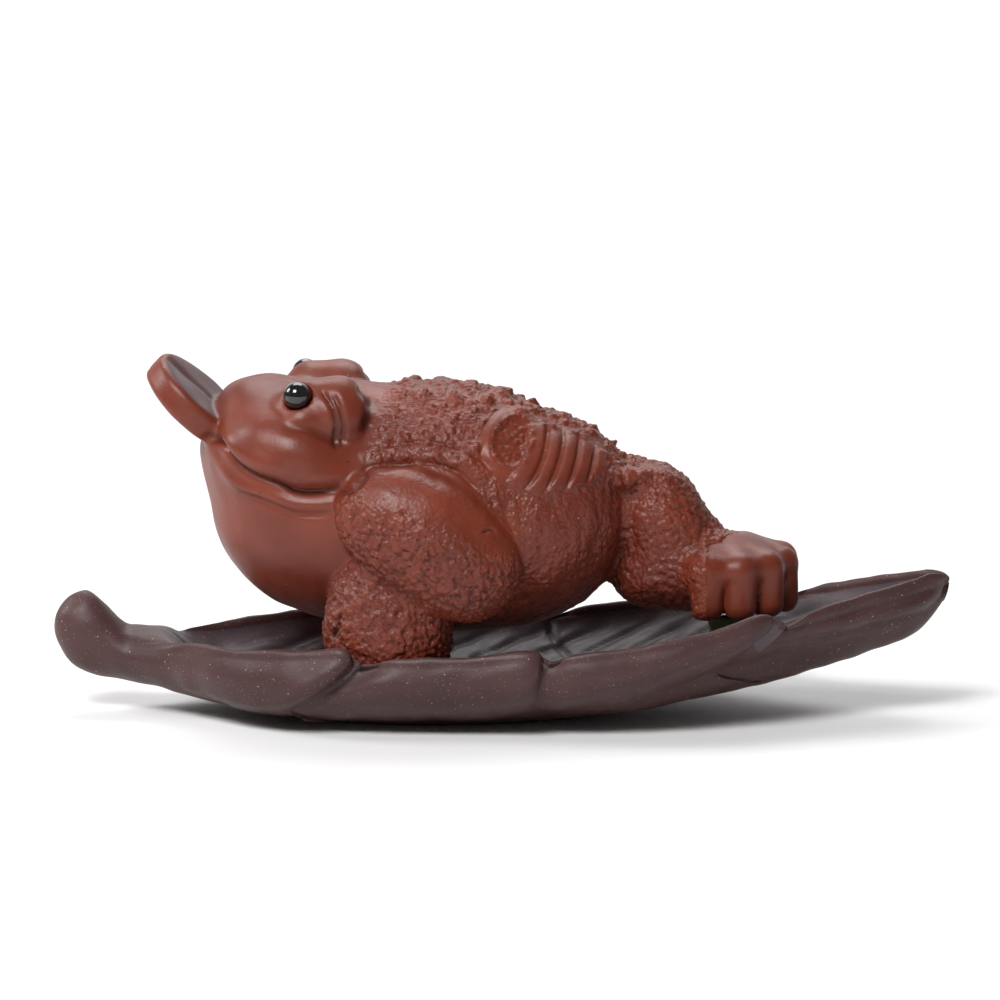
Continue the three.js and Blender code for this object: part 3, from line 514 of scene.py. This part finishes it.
CARVED_LINES = {
    "mouth": ([(-52, 50.6), (-48.5, 50), (-44.8, 46.2), (-38.5, 44), (-34.6, 42.4), (-26.6, 43)], 0.6, -1.3),
    "lower_lip": ([(-50, 47.4), (-46.6, 43.4), (-39.6, 41.5), (-34.8, 40.1), (-27, 40.6)], 1.1, 0.6),
    "upper_lip": ([(-48.5, 52), (-44.5, 48.3), (-38.5, 46.2), (-34.6, 44.8), (-26, 45.4)], 1.7, 0.9),
    "under_lip": ([(-45, 41.6), (-38.6, 39.4), (-34.6, 38.3), (-29, 38.6)], 0.5, -0.4),
    "mouth_corner": ([(-26.6, 43), (-24.6, 44.4), (-22.6, 46.4)], 0.7, -0.9),
    "brow_crease": ([(-24.4, 60.4), (-22.5, 57.6), (-23.4, 52.4)], 0.8, -1.1),
    "eye_fold": ([(-31, 59.8), (-29.4, 57.6), (-28.5, 54.6), (-28.4, 50.2)], 0.5, -0.8),
    "eye_fold_behind": ([(-29.2, 59.6), (-27.8, 57), (-27.1, 54), (-27.2, 50.8)], 0.5, -0.7),
    "cheek_fold": ([(-38, 53.8), (-33, 53.2), (-29.4, 51.9), (-26.6, 50.6)], 0.9, -0.5),
    "collar": ([(-23, 48.2), (-14, 49.2), (-7, 48.2), (-1.5, 44.4)], 1.1, 0.4),
    "collar_fold": ([(-22.6, 46.6), (-14, 47.6), (-8, 46.6), (-3.4, 43)], 0.4, -0.5),
    "collar_fold_high": ([(-20, 50), (-14, 50.9), (-7, 50), (-1, 46.4)], 0.4, -0.45),
    "rump_ribbon": ([(17.4, 44.8), (21.4, 43.2), (24.3, 44), (27.2, 44.6)], 1.3, 1.5),
    "shin_fold": ([(24.6, 43), (23.4, 36.6), (23.8, 30)], 0.6, -0.5),
}
CRACKS = [
    ([(-27.6, 21.2), (-28.4, 19.8), (-28, 18.6), (-29.2, 17.4), (-29, 16.2)], 0.28, -1.3),
    ([(-2.6, 36.4), (-1.2, 36.8), (-0.2, 36.2)], 0.22, -0.6),
    ([(-16.6, 40.4), (-15.8, 39.6)], 0.3, -0.5),
    ([(-14.6, 38.6), (-13.9, 38.2)], 0.25, -0.5),
]
CARVED_SIDE = (6, 12)
SWIRL_DISC = (2.4, 50.2)
SWIRL_RING = {"radius": 4.3, "width": 1.5, "height": 1.2}
SWIRL_TAIL = {"root": (2.4, 51.6), "tip": (-6.3, 49.1), "width": 1.3, "height": 0.9}
BANDS = {"at": (-3.2, 51.3), "first": 8.7, "pitch": 2.8, "count": 5, "height": 1.4}
BAND_GROOVE = {"width": 0.42, "depth": 0.6}
BAND_TOP = {"angle": 9, "step": -2.6, "fade": 3}
BAND_BOTTOM = {"angle": -54, "step": 7.5, "fade": 8}
WART_ROWS = [(3.2, -15.8, 7, 1.7), (8.6, -13.1, 7, 1.5)]
WART_PITCH = 5.4
WART_HEIGHT = 0.9
CLAY_LOW = np.array([-66.2, -33.2, 3.6])
CLAY_HIGH = np.array([55.0, 33.2, 66.0])
CLAY_CELL = 0.4
BLOCK = 4
TOAD_TRIANGLES = 196000


def smooth_union(a, b, k):
    overlap = np.maximum(k - np.abs(a - b), 0) / k
    return np.minimum(a, b) - overlap * overlap * (k / 4)


def lump_distance(lump, x, y, z):
    (cx, cy, cz), (hx, hy, hz), lean, _ = lump
    cos, sin = math.cos(math.radians(lean)), math.sin(math.radians(lean))
    u = ((x - cx) * cos + (z - cz) * sin) / hx
    v = (y - cy) / hy
    w = ((z - cz) * cos - (x - cx) * sin) / hz
    reach = np.sqrt(u * u + v * v + w * w)
    steep = np.sqrt((u / hx) ** 2 + (v / hy) ** 2 + (w / hz) ** 2)
    return reach * (reach - 1) / np.maximum(steep, 1e-9)


def rod_distance(x, y, z, start, end, radius):
    ax, ay, az = (b - a for a, b in zip(start, end))
    px, py, pz = x - start[0], y - start[1], z - start[2]
    t = np.clip((px * ax + py * ay + pz * az) / (ax * ax + ay * ay + az * az), 0, 1)
    return np.sqrt((px - t * ax) ** 2 + (py - t * ay) ** 2 + (pz - t * az) ** 2) - radius


def coin_frame():
    """The coin's own directions: along its rise, across it and square to its face."""
    tilt, roll = math.radians(COIN_TILT), math.radians(COIN_ROLL)
    along = np.array([math.cos(tilt), 0, -math.sin(tilt)])
    across = np.array([math.sin(tilt) * math.sin(roll), math.cos(roll), math.cos(tilt) * math.sin(roll)])
    return along, across, np.cross(along, across)


def coin_distance(x, y, z):
    offset = np.stack([x - COIN_CENTRE[0], y - COIN_CENTRE[1], z - COIN_CENTRE[2]], -1)
    along, across, normal = coin_frame()
    out = np.hypot(offset @ along, offset @ across) - COIN_RADIUS + COIN_EDGE
    up = np.abs(offset @ normal) - COIN_THICKNESS / 2 + COIN_EDGE
    return np.hypot(np.maximum(out, 0), np.maximum(up, 0)) + np.minimum(np.maximum(out, up), 0) - COIN_EDGE


def hind_toes():
    for angle in TOE_ANGLES:
        a = math.radians(angle)
        yield [(FOOT_CENTRE[0] + r * math.cos(a), FOOT_CENTRE[1] - r * math.sin(a), h) for r, h in TOE_JOINTS]


def front_toes():
    x, y = FRONT_TOE_HEEL
    for angle in FRONT_TOE_ANGLES:
        ahead = FRONT_TOE_REACH * math.cos(math.radians(angle))
        across = FRONT_TOE_SPREAD * FRONT_TOE_REACH * math.sin(math.radians(angle))
        yield (x, y, FRONT_TOE_HEIGHT), (x - ahead, y + across, FRONT_TOE_HEIGHT)


def clay_distance(x, y, z):
    """Distance to the toad's bare form, without its carving."""
    side = np.abs(y)
    clay = np.full_like(x, 1e3)
    for lump in TRUNK_LUMPS + LEG_LUMPS:
        clay = smooth_union(clay, lump_distance(lump, x, y, z), lump[3])
    for lump in HEAD_PAIRS + ARM_PAIRS + HIP_PAIRS:
        clay = smooth_union(clay, lump_distance(lump, x, side, z), lump[3])
    clay = smooth_union(clay, coin_distance(x, y, z), 1.2)
    for start, end in zip(RUMP_STRAP, RUMP_STRAP[1:]):
        clay = smooth_union(clay, rod_distance(x, side, z, start, end, RUMP_STRAP_RADIUS), 2.5)
    foot = x > 18
    fx, fy, fz = x[foot], y[foot], z[foot]
    part = clay[foot]
    for root, knuckle, tip in hind_toes():
        part = smooth_union(part, rod_distance(fx, fy, fz, root, knuckle, TOE_RADIUS), 3.2)
        part = smooth_union(part, rod_distance(fx, fy, fz, knuckle, tip, TOE_RADIUS), 0.5)
    clay[foot] = -smooth_union(-part, fz - FOOT_UNDERSIDE, 0.8)
    paw = (x < -8) & (z < 22)
    part = clay[paw]
    for heel, tip in front_toes():
        part = smooth_union(part, rod_distance(x[paw], side[paw], z[paw], heel, tip, FRONT_TOE_RADIUS), 0.8)
    clay[paw] = part
    socket = np.sqrt((x - EYE_CENTRE[0]) ** 2 + (side - EYE_CENTRE[1]) ** 2 + (z - EYE_CENTRE[2]) ** 2)
    clay = np.maximum(clay, EYE_RADIUS + TOUCH_GAP - socket)
    low = z < 26
    clay[low] = np.maximum(clay[low], leaf_hollow(x[low], y[low]) + TOUCH_GAP - z[low])
    return clay


def clay_mesh():
    """Closed mesh of the bare form: a coarse grid of blocks, filled in finely near the surface."""
    blocks = np.ceil((CLAY_HIGH - CLAY_LOW) / CLAY_CELL / BLOCK).astype(int)
    reach = CLAY_CELL * BLOCK
    middles = np.indices(blocks).reshape(3, -1).T
    centres = CLAY_LOW + (middles + 0.5 - 0.5 / BLOCK) * reach
    coarse = clay_distance(*centres.T)
    near = np.abs(coarse) < 0.9 * reach + 1.2
    field = coarse.reshape(blocks)
    for axis in range(3):
        field = np.repeat(field, BLOCK, axis)
    inner = np.indices((BLOCK,) * 3).reshape(3, -1).T
    cells = (middles[near][:, None] * BLOCK + inner).reshape(-1, 3)
    for chunk in np.array_split(cells, max(len(cells) // 400000, 1)):
        field[tuple(chunk.T)] = clay_distance(*(CLAY_LOW + chunk * CLAY_CELL).T)
    grid = openvdb.FloatGrid()
    grid.copyFromArray(field.astype(np.float32))
    points, quads = grid.convertToQuads(isovalue=0)
    points = CLAY_LOW + np.asarray(points, float) * CLAY_CELL
    corners = points[np.asarray(quads)]
    crossed = np.cross(corners[:, 2] - corners[:, 0], corners[:, 3] - corners[:, 1])
    if (corners.mean(1) * crossed).sum() < 0:
        quads = quads[:, ::-1]
    return mesh_object("toad_form", points, np.asarray(quads).tolist())


def carved(lines, x, z):
    """Height of lines drawn on the side view: each is its path, its half-width and its height."""
    height = np.zeros(len(x))
    for path, width, tall in lines:
        steps = np.arange(len(path))
        at = np.linspace(0, len(path) - 1, 10 * len(path))
        px, pz = (through(list(zip(steps, values)))(at) for values in zip(*path))
        close = (x > px.min() - 4) & (x < px.max() + 4) & (z > pz.min() - 4) & (z < pz.max() + 4)
        cx, cz = x[close], z[close]
        nearest = np.full(len(cx), 99.0)
        along = np.zeros(len(cx))
        for i, (ax, az, bx, bz) in enumerate(zip(px, pz, px[1:], pz[1:])):
            run = np.hypot(bx - ax, bz - az) + 1e-9
            t = np.clip(((cx - ax) * (bx - ax) + (cz - az) * (bz - az)) / run**2, 0, 1)
            away = np.hypot(cx - ax - t * (bx - ax), cz - az - t * (bz - az))
            along = np.where(away < nearest, (i + t) / (len(px) - 1), along)
            nearest = np.minimum(nearest, away)
        taper = smooth_step(-0.08, 0.15, along) * smooth_step(1.08, 0.85, along)
        height[close] += tall * taper * bell(nearest, width)
    return height


def swirl(x, z):
    """Height of the thigh's swirl, and where its granular disc and its bands are."""
    from_disc = np.hypot(x - SWIRL_DISC[0], z - SWIRL_DISC[1])
    ring = SWIRL_RING["height"] * bell(from_disc - SWIRL_RING["radius"], SWIRL_RING["width"])
    disc = smooth_step(SWIRL_RING["radius"], SWIRL_RING["radius"] - 1, from_disc)
    root, tip = SWIRL_TAIL["root"], SWIRL_TAIL["tip"]
    to_tip = (root[0] - x) / (root[0] - tip[0])
    tail_line = root[1] + (tip[1] - root[1]) * to_tip
    tail_reach = smooth_step(0.2, 0.5, to_tip) * smooth_step(1.15, 0.9, to_tip)
    tail = SWIRL_TAIL["height"] * bell(z - tail_line, SWIRL_TAIL["width"]) * tail_reach
    cx, cz = BANDS["at"]
    angle = np.degrees(np.arctan2(z - cz, x - cx))
    band = (np.hypot(x - cx, z - cz) - BANDS["first"]) / BANDS["pitch"]
    top = BAND_TOP["angle"] + BAND_TOP["step"] * np.maximum(band, 0)
    bottom = BAND_BOTTOM["angle"] + BAND_BOTTOM["step"] * np.maximum(band, 0)
    across = smooth_step(-0.4, 0, band) * smooth_step(BANDS["count"] + 0.1, BANDS["count"] - 0.3, band)
    along = smooth_step(top + BAND_TOP["fade"], top - BAND_TOP["fade"], angle)
    along = along * smooth_step(bottom - BAND_BOTTOM["fade"], bottom + BAND_BOTTOM["fade"], angle)
    to_groove = np.abs(band - np.round(band)) * BANDS["pitch"]
    grooved = np.where(band > 0.5, BAND_GROOVE["depth"] * bell(to_groove, BAND_GROOVE["width"]), 0)
    zone = across * along
    bands = BANDS["height"] * zone * (1 - grooved)
    height = np.maximum(np.maximum(ring, 0.5 * disc), np.maximum(tail, bands))
    return height, disc, np.maximum(zone, smooth_step(6.6, 5.4, from_disc) * (1 - disc))


def big_warts(x, side):
    height = np.zeros(len(x))
    for y, first, count, radius in WART_ROWS:
        nearest = np.clip(np.round((x - first) / WART_PITCH), 0, count - 1)
        away = np.hypot(x - first - nearest * WART_PITCH, side - y - 0.7 * np.sin(2 * nearest))
        height += WART_HEIGHT * bell(away, radius * (0.85 + 0.15 * np.sin(3 * nearest)))
    return height


def nearest_of(lumps, x, y, z):
    return np.min([lump_distance(lump, x, y, z) for lump in lumps], 0)


form = clay_mesh()
spots, _ = places_of(form)
spots = spots.astype(float)
x, y, z = spots.T
side = np.abs(y)
outward = smooth_step(*CARVED_SIDE, side)
swirl_height, disc, bands = swirl(x, z)
trunk = nearest_of(TRUNK_LUMPS, x, y, z)
head = nearest_of(HEAD_PAIRS, x, side, z)
arm = nearest_of(ARM_PAIRS, x, side, z)
leg = np.minimum(nearest_of(LEG_LUMPS, x, y, z), nearest_of(HIP_PAIRS, x, side, z))
toes = np.min([
    np.minimum(rod_distance(x, y, z, a, b, TOE_RADIUS), rod_distance(x, y, z, b, c, TOE_RADIUS))
    for a, b, c in hind_toes()
], 0)
is_arm = smooth_step(0.8, -0.8, arm - np.minimum(trunk, head)) * smooth_step(-1, 1, side - 8)
is_toe = smooth_step(0.5, -0.5, toes - leg) * smooth_step(34, 38, x)
is_leg = smooth_step(0.8, -0.8, leg - trunk) * (1 - is_toe) * smooth_step(16, 20, x)
is_trunk = (1 - is_arm) * (1 - is_leg) * (1 - is_toe)
behind_head = smooth_step(-25, -20, x - 0.35 * (z - 50))
back = is_trunk * behind_head * smooth_step(45, 49, z + 0.25 * np.clip(x, 0, None))
on_swirl = np.maximum(disc, bands) * outward * is_trunk
flank = is_trunk * smooth_step(-6, 0, x) * smooth_step(49, 45, z) * smooth_step(15, 21, z)
carving = outward * carved(list(CARVED_LINES.values()), x, z)
carving += outward * is_trunk * swirl_height
carving += outward * smooth_step(0, -4, y) * carved(CRACKS, x, z)
upper = smooth_step(40, 46, z)
carving += upper * (big_warts(x, side) - 0.5 * bell(side, 1.2)) * is_trunk
carving += 0.12 * hand_waves(spots, 9, 11) * (1 - is_toe)
above_rest = np.minimum(z - leaf_hollow(x, y) - TOUCH_GAP, np.where(x > 20, z - FOOT_UNDERSIDE, 9))
free = smooth_step(0.1, 0.9, above_rest)
press(form, carving * free)
give(form, "warts", back * (1 - on_swirl) * free)
give(form, "leather", np.clip(is_arm * smooth_step(40, 33, z + 0.4 * (x + 12)) + 0.7 * is_leg, 0, 1) * free)
give(form, "pits", np.clip(flank * (1 - on_swirl) + 0.5 * is_leg + 0.25 * is_arm, 0, 1) * free)
give(form, "granules", disc * outward * is_trunk)
# The depth of the carved-in lines is kept for the painted shade inside them.
give(form, "carved", np.clip(-carving, 0, 1))
# The coin's top face is marked for a painted reflection: its purple-grey stands for the sheen of light on the
# face.
over_coin = np.stack([x, y, z], -1) - COIN_CENTRE
lengthwise, sideways, upward = coin_frame()
from_middle = np.hypot(over_coin @ lengthwise, over_coin @ sideways)
over_face = over_coin @ upward - COIN_THICKNESS / 2
on_face = smooth_step(-0.8, -0.3, over_face) * smooth_step(0.5, 0.25, over_face)
give(form, "coin_face_sheen", on_face * smooth_step(COIN_RADIUS - 0.5, COIN_RADIUS - 1.6, from_middle))


def skin_tree():
    """Skin of the toad: warts, leathery cells, pits and granules, each where its mask says."""
    tree = bpy.data.node_groups.new("toad_skin", "GeometryNodeTree")
    sizes = {
        "Wart pitch": 2.0, "Wart height": 0.6, "Grain pitch": 1.1, "Grain height": 0.28,
        "Cell pitch": 1.5, "Crack depth": 0.3, "Pit pitch": 1.6, "Pit depth": 0.42,
        "Wrinkle pitch": 2.6, "Wrinkle depth": 0.3,
    }
    tree.interface.new_socket("Clay", in_out="INPUT", socket_type="NodeSocketGeometry")
    for name in sizes:
        tree.interface.new_socket(name, in_out="INPUT", socket_type="NodeSocketFloat")
    tree.interface.new_socket("Finish", in_out="INPUT", socket_type="NodeSocketMaterial")
    tree.interface.new_socket("Clay", in_out="OUTPUT", socket_type="NodeSocketGeometry")
    recipe = Recipe(tree)
    given = tree.nodes.new("NodeGroupInput")
    size = {name: Wire(recipe, given.outputs[name]) for name in sizes}

    def vector(operation, *values, **named):
        sockets = {**dict(enumerate(values)), **named}
        return recipe.node("ShaderNodeVectorMath", {"operation": operation}, sockets)

    def mask(name):
        return recipe.node("GeometryNodeInputNamedAttribute", {"data_type": "FLOAT"}, {"Name": name})

    def cells(at, pitch, feature="F1", output="Distance"):
        scale = recipe.node("ShaderNodeMath", {"operation": "DIVIDE"}, {0: 1.0, 1: pitch})
        sockets = {"Vector": at, "Scale": scale}
        return recipe.node("ShaderNodeTexVoronoi", {"feature": feature}, sockets, output)

    place = vector("SCALE", recipe.node("GeometryNodeInputPosition"), Scale=1 / MM)
    drift = recipe.node("ShaderNodeTexNoise", None, {"Vector": place, "Scale": 0.35}, "Color")
    at = vector("ADD", place, vector("SCALE", vector("SUBTRACT", drift, (0.5, 0.5, 0.5)), Scale=1.6))
    chance = cells(at, size["Wart pitch"], output="Color")
    radius = 0.36 + 0.26 * recipe.node("ShaderNodeSeparateXYZ", None, {0: chance})
    dome = 1 - recipe.step(cells(at, size["Wart pitch"]), 0.08, radius)
    grain = 1 - recipe.step(cells(at, size["Grain pitch"]), 0.05, 0.6)
    warts = mask("warts") * (size["Wart height"] * dome + size["Grain height"] * grain)
    granules = mask("granules") * 0.45 * grain
    edge = cells(at, size["Cell pitch"], "DISTANCE_TO_EDGE")
    crack = 1 - recipe.step(edge, 0.0, 0.2)
    folds = recipe.node("ShaderNodeTexNoise", None, {"Vector": place, "Scale": 0.42, "Detail": 3.0})
    from_line = recipe.node("ShaderNodeMath", {"operation": "ABSOLUTE"}, {0: folds - 0.5})
    creased = 1 - recipe.step(from_line, 0.0, 0.05)
    leather = mask("leather") * (size["Crack depth"] * (0.5 - crack) + 0.3 * grain - 0.45 * creased)
    stretched = vector("MULTIPLY", at, (1.0, 1.0, 0.3))
    ridge = recipe.node("ShaderNodeTexNoise", None, {"Vector": stretched, "Scale": 0.42, "Detail": 2.0})
    wrinkle = size["Wrinkle depth"] * (recipe.step(ridge, 0.35, 0.65) - 0.5)
    hole = 1 - recipe.step(cells(at, size["Pit pitch"]), 0.05, 0.5)
    pits = mask("pits") * (wrinkle - size["Pit depth"] * hole * recipe.step(ridge, 0.4, 0.6) + 0.16 * dome)
    height = warts + granules + leather + pits
    outward = vector("SCALE", recipe.node("GeometryNodeInputNormal"), Scale=height * MM)
    clay = Wire(recipe, given.outputs["Clay"])
    clay = recipe.node("GeometryNodeSetPosition", None, {"Geometry": clay, "Offset": outward})
    # The relief is kept for the finish, which paints shade in the hollows and highlight on the raised tops.
    clay = recipe.node("GeometryNodeStoreNamedAttribute", {"data_type": "FLOAT", "domain": "POINT"},
                       {"Geometry": clay, "Name": "relief", "Value": height})
    clay = recipe.node("GeometryNodeRealizeInstances", None, {"Geometry": clay})
    clay = recipe.node("GeometryNodeSetMaterial", None,
                       {"Geometry": clay, "Material": Wire(recipe, given.outputs["Finish"])})
    recipe.node("NodeGroupOutput", None, {0: clay})
    return tree, sizes


def toad_finish():
    material, recipe, place = finish_named("toad_clay")
    relief = recipe.attribute("relief")
    # Painted shade: the carved-in lines are painted darker, as the shade inside them.
    carved_shade = recipe.step(recipe.attribute("carved"), 0.15, 0.9)
    # Painted shade and painted highlight: the clay is painted darker where the relief sinks into hollows and
    # lighter on its raised tops, as shade and light fall there.
    hollow = recipe.step(relief, 0.0, -0.35)
    raised_highlight = recipe.step(relief, 0.12, 0.6)
    cloud = recipe.step(recipe.noise(place, 11, 3.0), 0.3, 0.72)
    base = recipe.blend(cloud, (0.135, 0.022, 0.0095, 1), (0.19, 0.034, 0.015, 1))
    base = recipe.blend(raised_highlight * 0.35, base, (0.26, 0.062, 0.034, 1))
    base = recipe.blend(hollow * 0.5, base, (0.055, 0.009, 0.005, 1))
    base = recipe.blend(carved_shade * 0.6, base, (0.05, 0.009, 0.005, 1))
    # Painted reflection: the coin's top face is painted purple-grey, standing for the light it reflects.
    base = recipe.blend(recipe.attribute("coin_face_sheen") * 0.85, base, (0.1, 0.05, 0.056, 1))
    pale = recipe.specks(place, 3.1, 0.16)
    dark = recipe.specks(place, 3.7, 0.2)
    base = recipe.blend(pale * 0.7, base, (0.6, 0.36, 0.25, 1))
    base = recipe.blend(dark * 0.8, base, (0.07, 0.015, 0.01, 1))
    worked = recipe.attribute("warts") + recipe.attribute("leather") + recipe.attribute("pits")
    rough = recipe.step(worked, 0.0, 0.7)
    grain = recipe.cells(place, 0.75) * 0.16 + recipe.noise(place, 1.4, 4.0) * 0.26
    height = 0.025 * recipe.noise(place, 0.35, 3.0) + 0.05 * recipe.noise(place, 1.3, 2.0)
    height = height + rough * grain - 0.12 * dark
    recipe.shader({
        "Base Color": base,
        "Roughness": 0.34 + 0.14 * recipe.noise(place, 4, 3.0) + 0.15 * hollow,
        "Normal": recipe.bump(height),
        "Specular IOR Level": 0.42,
    })
    return material


def settled(made, name):
    """A plain mesh of an object with its modifiers worked in; the old object goes."""
    graph = bpy.context.evaluated_depsgraph_get()
    ready = made.evaluated_get(graph)
    mesh = bpy.data.meshes.new_from_object(ready, preserve_all_data_layers=True, depsgraph=graph)
    bpy.data.objects.remove(made)
    mesh.name = name
    plain = bpy.data.objects.new(name, mesh)
    bpy.context.scene.collection.objects.link(plain)
    return plain


tree, sizes = skin_tree()
skin = form.modifiers.new("skin", "NODES")
skin.node_group = tree
for item in tree.interface.items_tree:
    if item.in_out == "INPUT" and item.name in sizes:
        skin[item.identifier] = sizes[item.name]
    if item.in_out == "INPUT" and item.name == "Finish":
        skin[item.identifier] = toad_finish()
toad = settled(form, "toad_worked")
thinner = toad.modifiers.new("thinner", "DECIMATE")
thinner.ratio = min(TOAD_TRIANGLES / (2 * len(toad.data.polygons)), 1)
toad = settled(toad, "toad_clay_body")
toad.data.shade_smooth()
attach(toad, "root")
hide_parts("toad")


# Eye beads: two polished black glass balls, pressed into the sockets while the clay was soft,
# with the clay closing on them to a little more than half.
BEAD_TURNS = 56
BEAD_RINGS = 32


def bead_mesh(name, centre):
    rise = np.linspace(0, np.pi, BEAD_RINGS + 1)[1:-1]
    turn = np.linspace(0, 2 * np.pi, BEAD_TURNS, endpoint=False)
    ring = np.stack([
        np.outer(np.sin(rise), np.cos(turn)),
        np.outer(np.cos(rise), np.ones(BEAD_TURNS)),
        -np.outer(np.sin(rise), np.sin(turn)),
    ], -1)
    points = np.concatenate([ring.reshape(-1, 3), [[0, 1, 0], [0, -1, 0]]]) * EYE_RADIUS * 0.985 + centre
    number = np.arange((BEAD_RINGS - 1) * BEAD_TURNS).reshape(-1, BEAD_TURNS)
    beside = np.roll(number, -1, 1)
    faces = np.stack([number[:-1], number[1:], beside[1:], beside[:-1]], -1).reshape(-1, 4).tolist()
    top, bottom = number.size, number.size + 1
    faces += [(top, int(a), int(b)) for a, b in zip(number[0], beside[0])]
    faces += [(bottom, int(b), int(a)) for a, b in zip(number[-1], beside[-1])]
    return mesh_object(name, points, faces)


def bead_finish():
    material, recipe, place = finish_named("eye_bead")
    haze = recipe.noise(place, 1.2, 2.0)
    recipe.shader({
        "Base Color": recipe.blend(haze, (0.004, 0.004, 0.005, 1), (0.012, 0.01, 0.012, 1)),
        "Roughness": 0.05 + 0.06 * haze,
        "Coat Weight": 0.6,
        "Coat Roughness": 0.03,
    })
    return material


bead_look = bead_finish()
for name, way in (("near", -1), ("far", 1)):
    bead = bead_mesh(f"bead_{name}", np.array(EYE_CENTRE) * (1, way, 1))
    bead.data.materials.append(bead_look)
    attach(bead, "root")
    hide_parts(f"eye_bead_{name}")


# Foot pad: a small turned pad of cloudy olive rubber between the hind foot and the leaf. It
# keeps the fired clay from chattering on the leaf, and is narrower at its waist.
PAD_SIDES = 64
PAD_PROFILE = [
    (0.86, 0), (0.97, 0.03), (1, 0.1), (0.9, 0.3), (0.84, 0.5), (0.88, 0.7), (0.98, 0.9), (0.94, 1),
]
pad_low, pad_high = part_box("foot_pad")


def pad_mesh():
    radius = (pad_high.x - pad_low.x) / 2 / MM
    centre = ((pad_high.x + pad_low.x) / 2 / MM, (pad_high.y + pad_low.y) / 2 / MM)
    turn = np.linspace(0, 2 * np.pi, PAD_SIDES, endpoint=False)
    points = []
    for wide, high in PAD_PROFILE:
        level = (pad_low.z + high * (pad_high.z - pad_low.z)) / MM
        points.append(np.stack([
            centre[0] + wide * radius * np.cos(turn),
            centre[1] + wide * radius * np.sin(turn),
            np.full(PAD_SIDES, level),
        ], -1))
    number = np.arange(len(PAD_PROFILE) * PAD_SIDES).reshape(-1, PAD_SIDES)
    beside = np.roll(number, -1, 1)
    faces = np.stack([number[:-1], beside[:-1], beside[1:], number[1:]], -1).reshape(-1, 4).tolist()
    faces += [number[0][::-1].tolist(), number[-1].tolist()]
    return mesh_object("pad_olive", np.concatenate(points), faces)


def pad_finish():
    material, recipe, place = finish_named("pad_rubber")
    cloud = recipe.noise(place, 2.5, 3.0)
    recipe.shader({
        "Base Color": recipe.blend(cloud, (0.1, 0.12, 0.05, 1), (0.2, 0.23, 0.1, 1)),
        "Roughness": 0.16 + 0.12 * recipe.noise(place, 1.0, 2.0),
        "Transmission Weight": 0.35,
        "IOR": 1.45,
    })
    return material


pad = pad_mesh()
pad.data.materials.append(pad_finish())
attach(pad, "root")
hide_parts("foot_pad")


# Photo table: a pale sheet that sweeps up behind the object, two soft boxes and a long lens at
# the height of the toad's knees.
SHEET_NEAR = -0.9
SHEET_BEND = 0.9
SHEET_RADIUS = 0.6
SHEET_HALF_WIDTH = 2.5
VIEW_AZIMUTH = 1.0
VIEW_ELEVATION = 8.5
VIEW_DISTANCE = 1.2
VIEW_TARGET = (0, 0, 0.038)
VIEW_WIDTH = 1000 / 5.6 * MM
LIGHTS = [
    ("front_box", (-0.4, -0.85, 1.0), (0, 0, 0.04), 0.5, 17),
    ("left_box", (-0.9, 0.15, 0.6), (0, 0, 0.04), 0.4, 5),
    ("sheet_box", (0, 1.2, 1.5), (0, 1.1, 0), 1.2, 20),
]


def sweep_sheet():
    bend = np.radians(np.linspace(0, 90, 16))
    profile = [(SHEET_NEAR, 0)]
    profile += [(SHEET_BEND + SHEET_RADIUS * math.sin(a), SHEET_RADIUS * (1 - math.cos(a))) for a in bend]
    profile.append((SHEET_BEND + SHEET_RADIUS, 3))
    points = [(way * SHEET_HALF_WIDTH / MM, y / MM, z / MM) for y, z in profile for way in (-1, 1)]
    faces = [(2 * i, 2 * i + 1, 2 * i + 3, 2 * i + 2) for i in range(len(profile) - 1)]
    return mesh_object("photo_sheet", points, faces)


def sheet_finish():
    material, recipe, place = finish_named("photo_sheet")
    tone = recipe.noise(place, 60, 2.0)
    recipe.shader({
        "Base Color": recipe.blend(tone, (0.86, 0.86, 0.86, 1), (0.89, 0.89, 0.89, 1)),
        "Roughness": 0.7,
    })
    return material


sheet = sweep_sheet()
sheet.data.materials.append(sheet_finish())

for name, spot, target, size, power in LIGHTS:
    light = bpy.data.lights.new(name, "AREA")
    light.size = size
    light.energy = power
    lamp = bpy.data.objects.new(name, light)
    lamp.location = spot
    lamp.rotation_euler = (Vector(target) - Vector(spot)).to_track_quat("-Z", "Y").to_euler()
    bpy.context.scene.collection.objects.link(lamp)

world = bpy.data.worlds.new("studio_air")
world.use_nodes = True
world.node_tree.nodes["Background"].inputs["Color"].default_value = (1, 1, 1, 1)
world.node_tree.nodes["Background"].inputs["Strength"].default_value = 0.12
bpy.context.scene.world = world
bpy.context.scene.view_settings.view_transform = "Standard"

azimuth, elevation = math.radians(VIEW_AZIMUTH), math.radians(VIEW_ELEVATION)
back = Vector((
    math.sin(azimuth) * math.cos(elevation), -math.cos(azimuth) * math.cos(elevation), math.sin(elevation),
))
lens = bpy.data.cameras.new("lens")
lens.lens = lens.sensor_width * VIEW_DISTANCE / VIEW_WIDTH
lens.clip_end = 20
camera = bpy.data.objects.new("camera", lens)
camera.location = Vector(VIEW_TARGET) + VIEW_DISTANCE * back
camera.rotation_euler = back.to_track_quat("Z", "Y").to_euler()
bpy.context.scene.collection.objects.link(camera)
bpy.context.scene.camera = camera
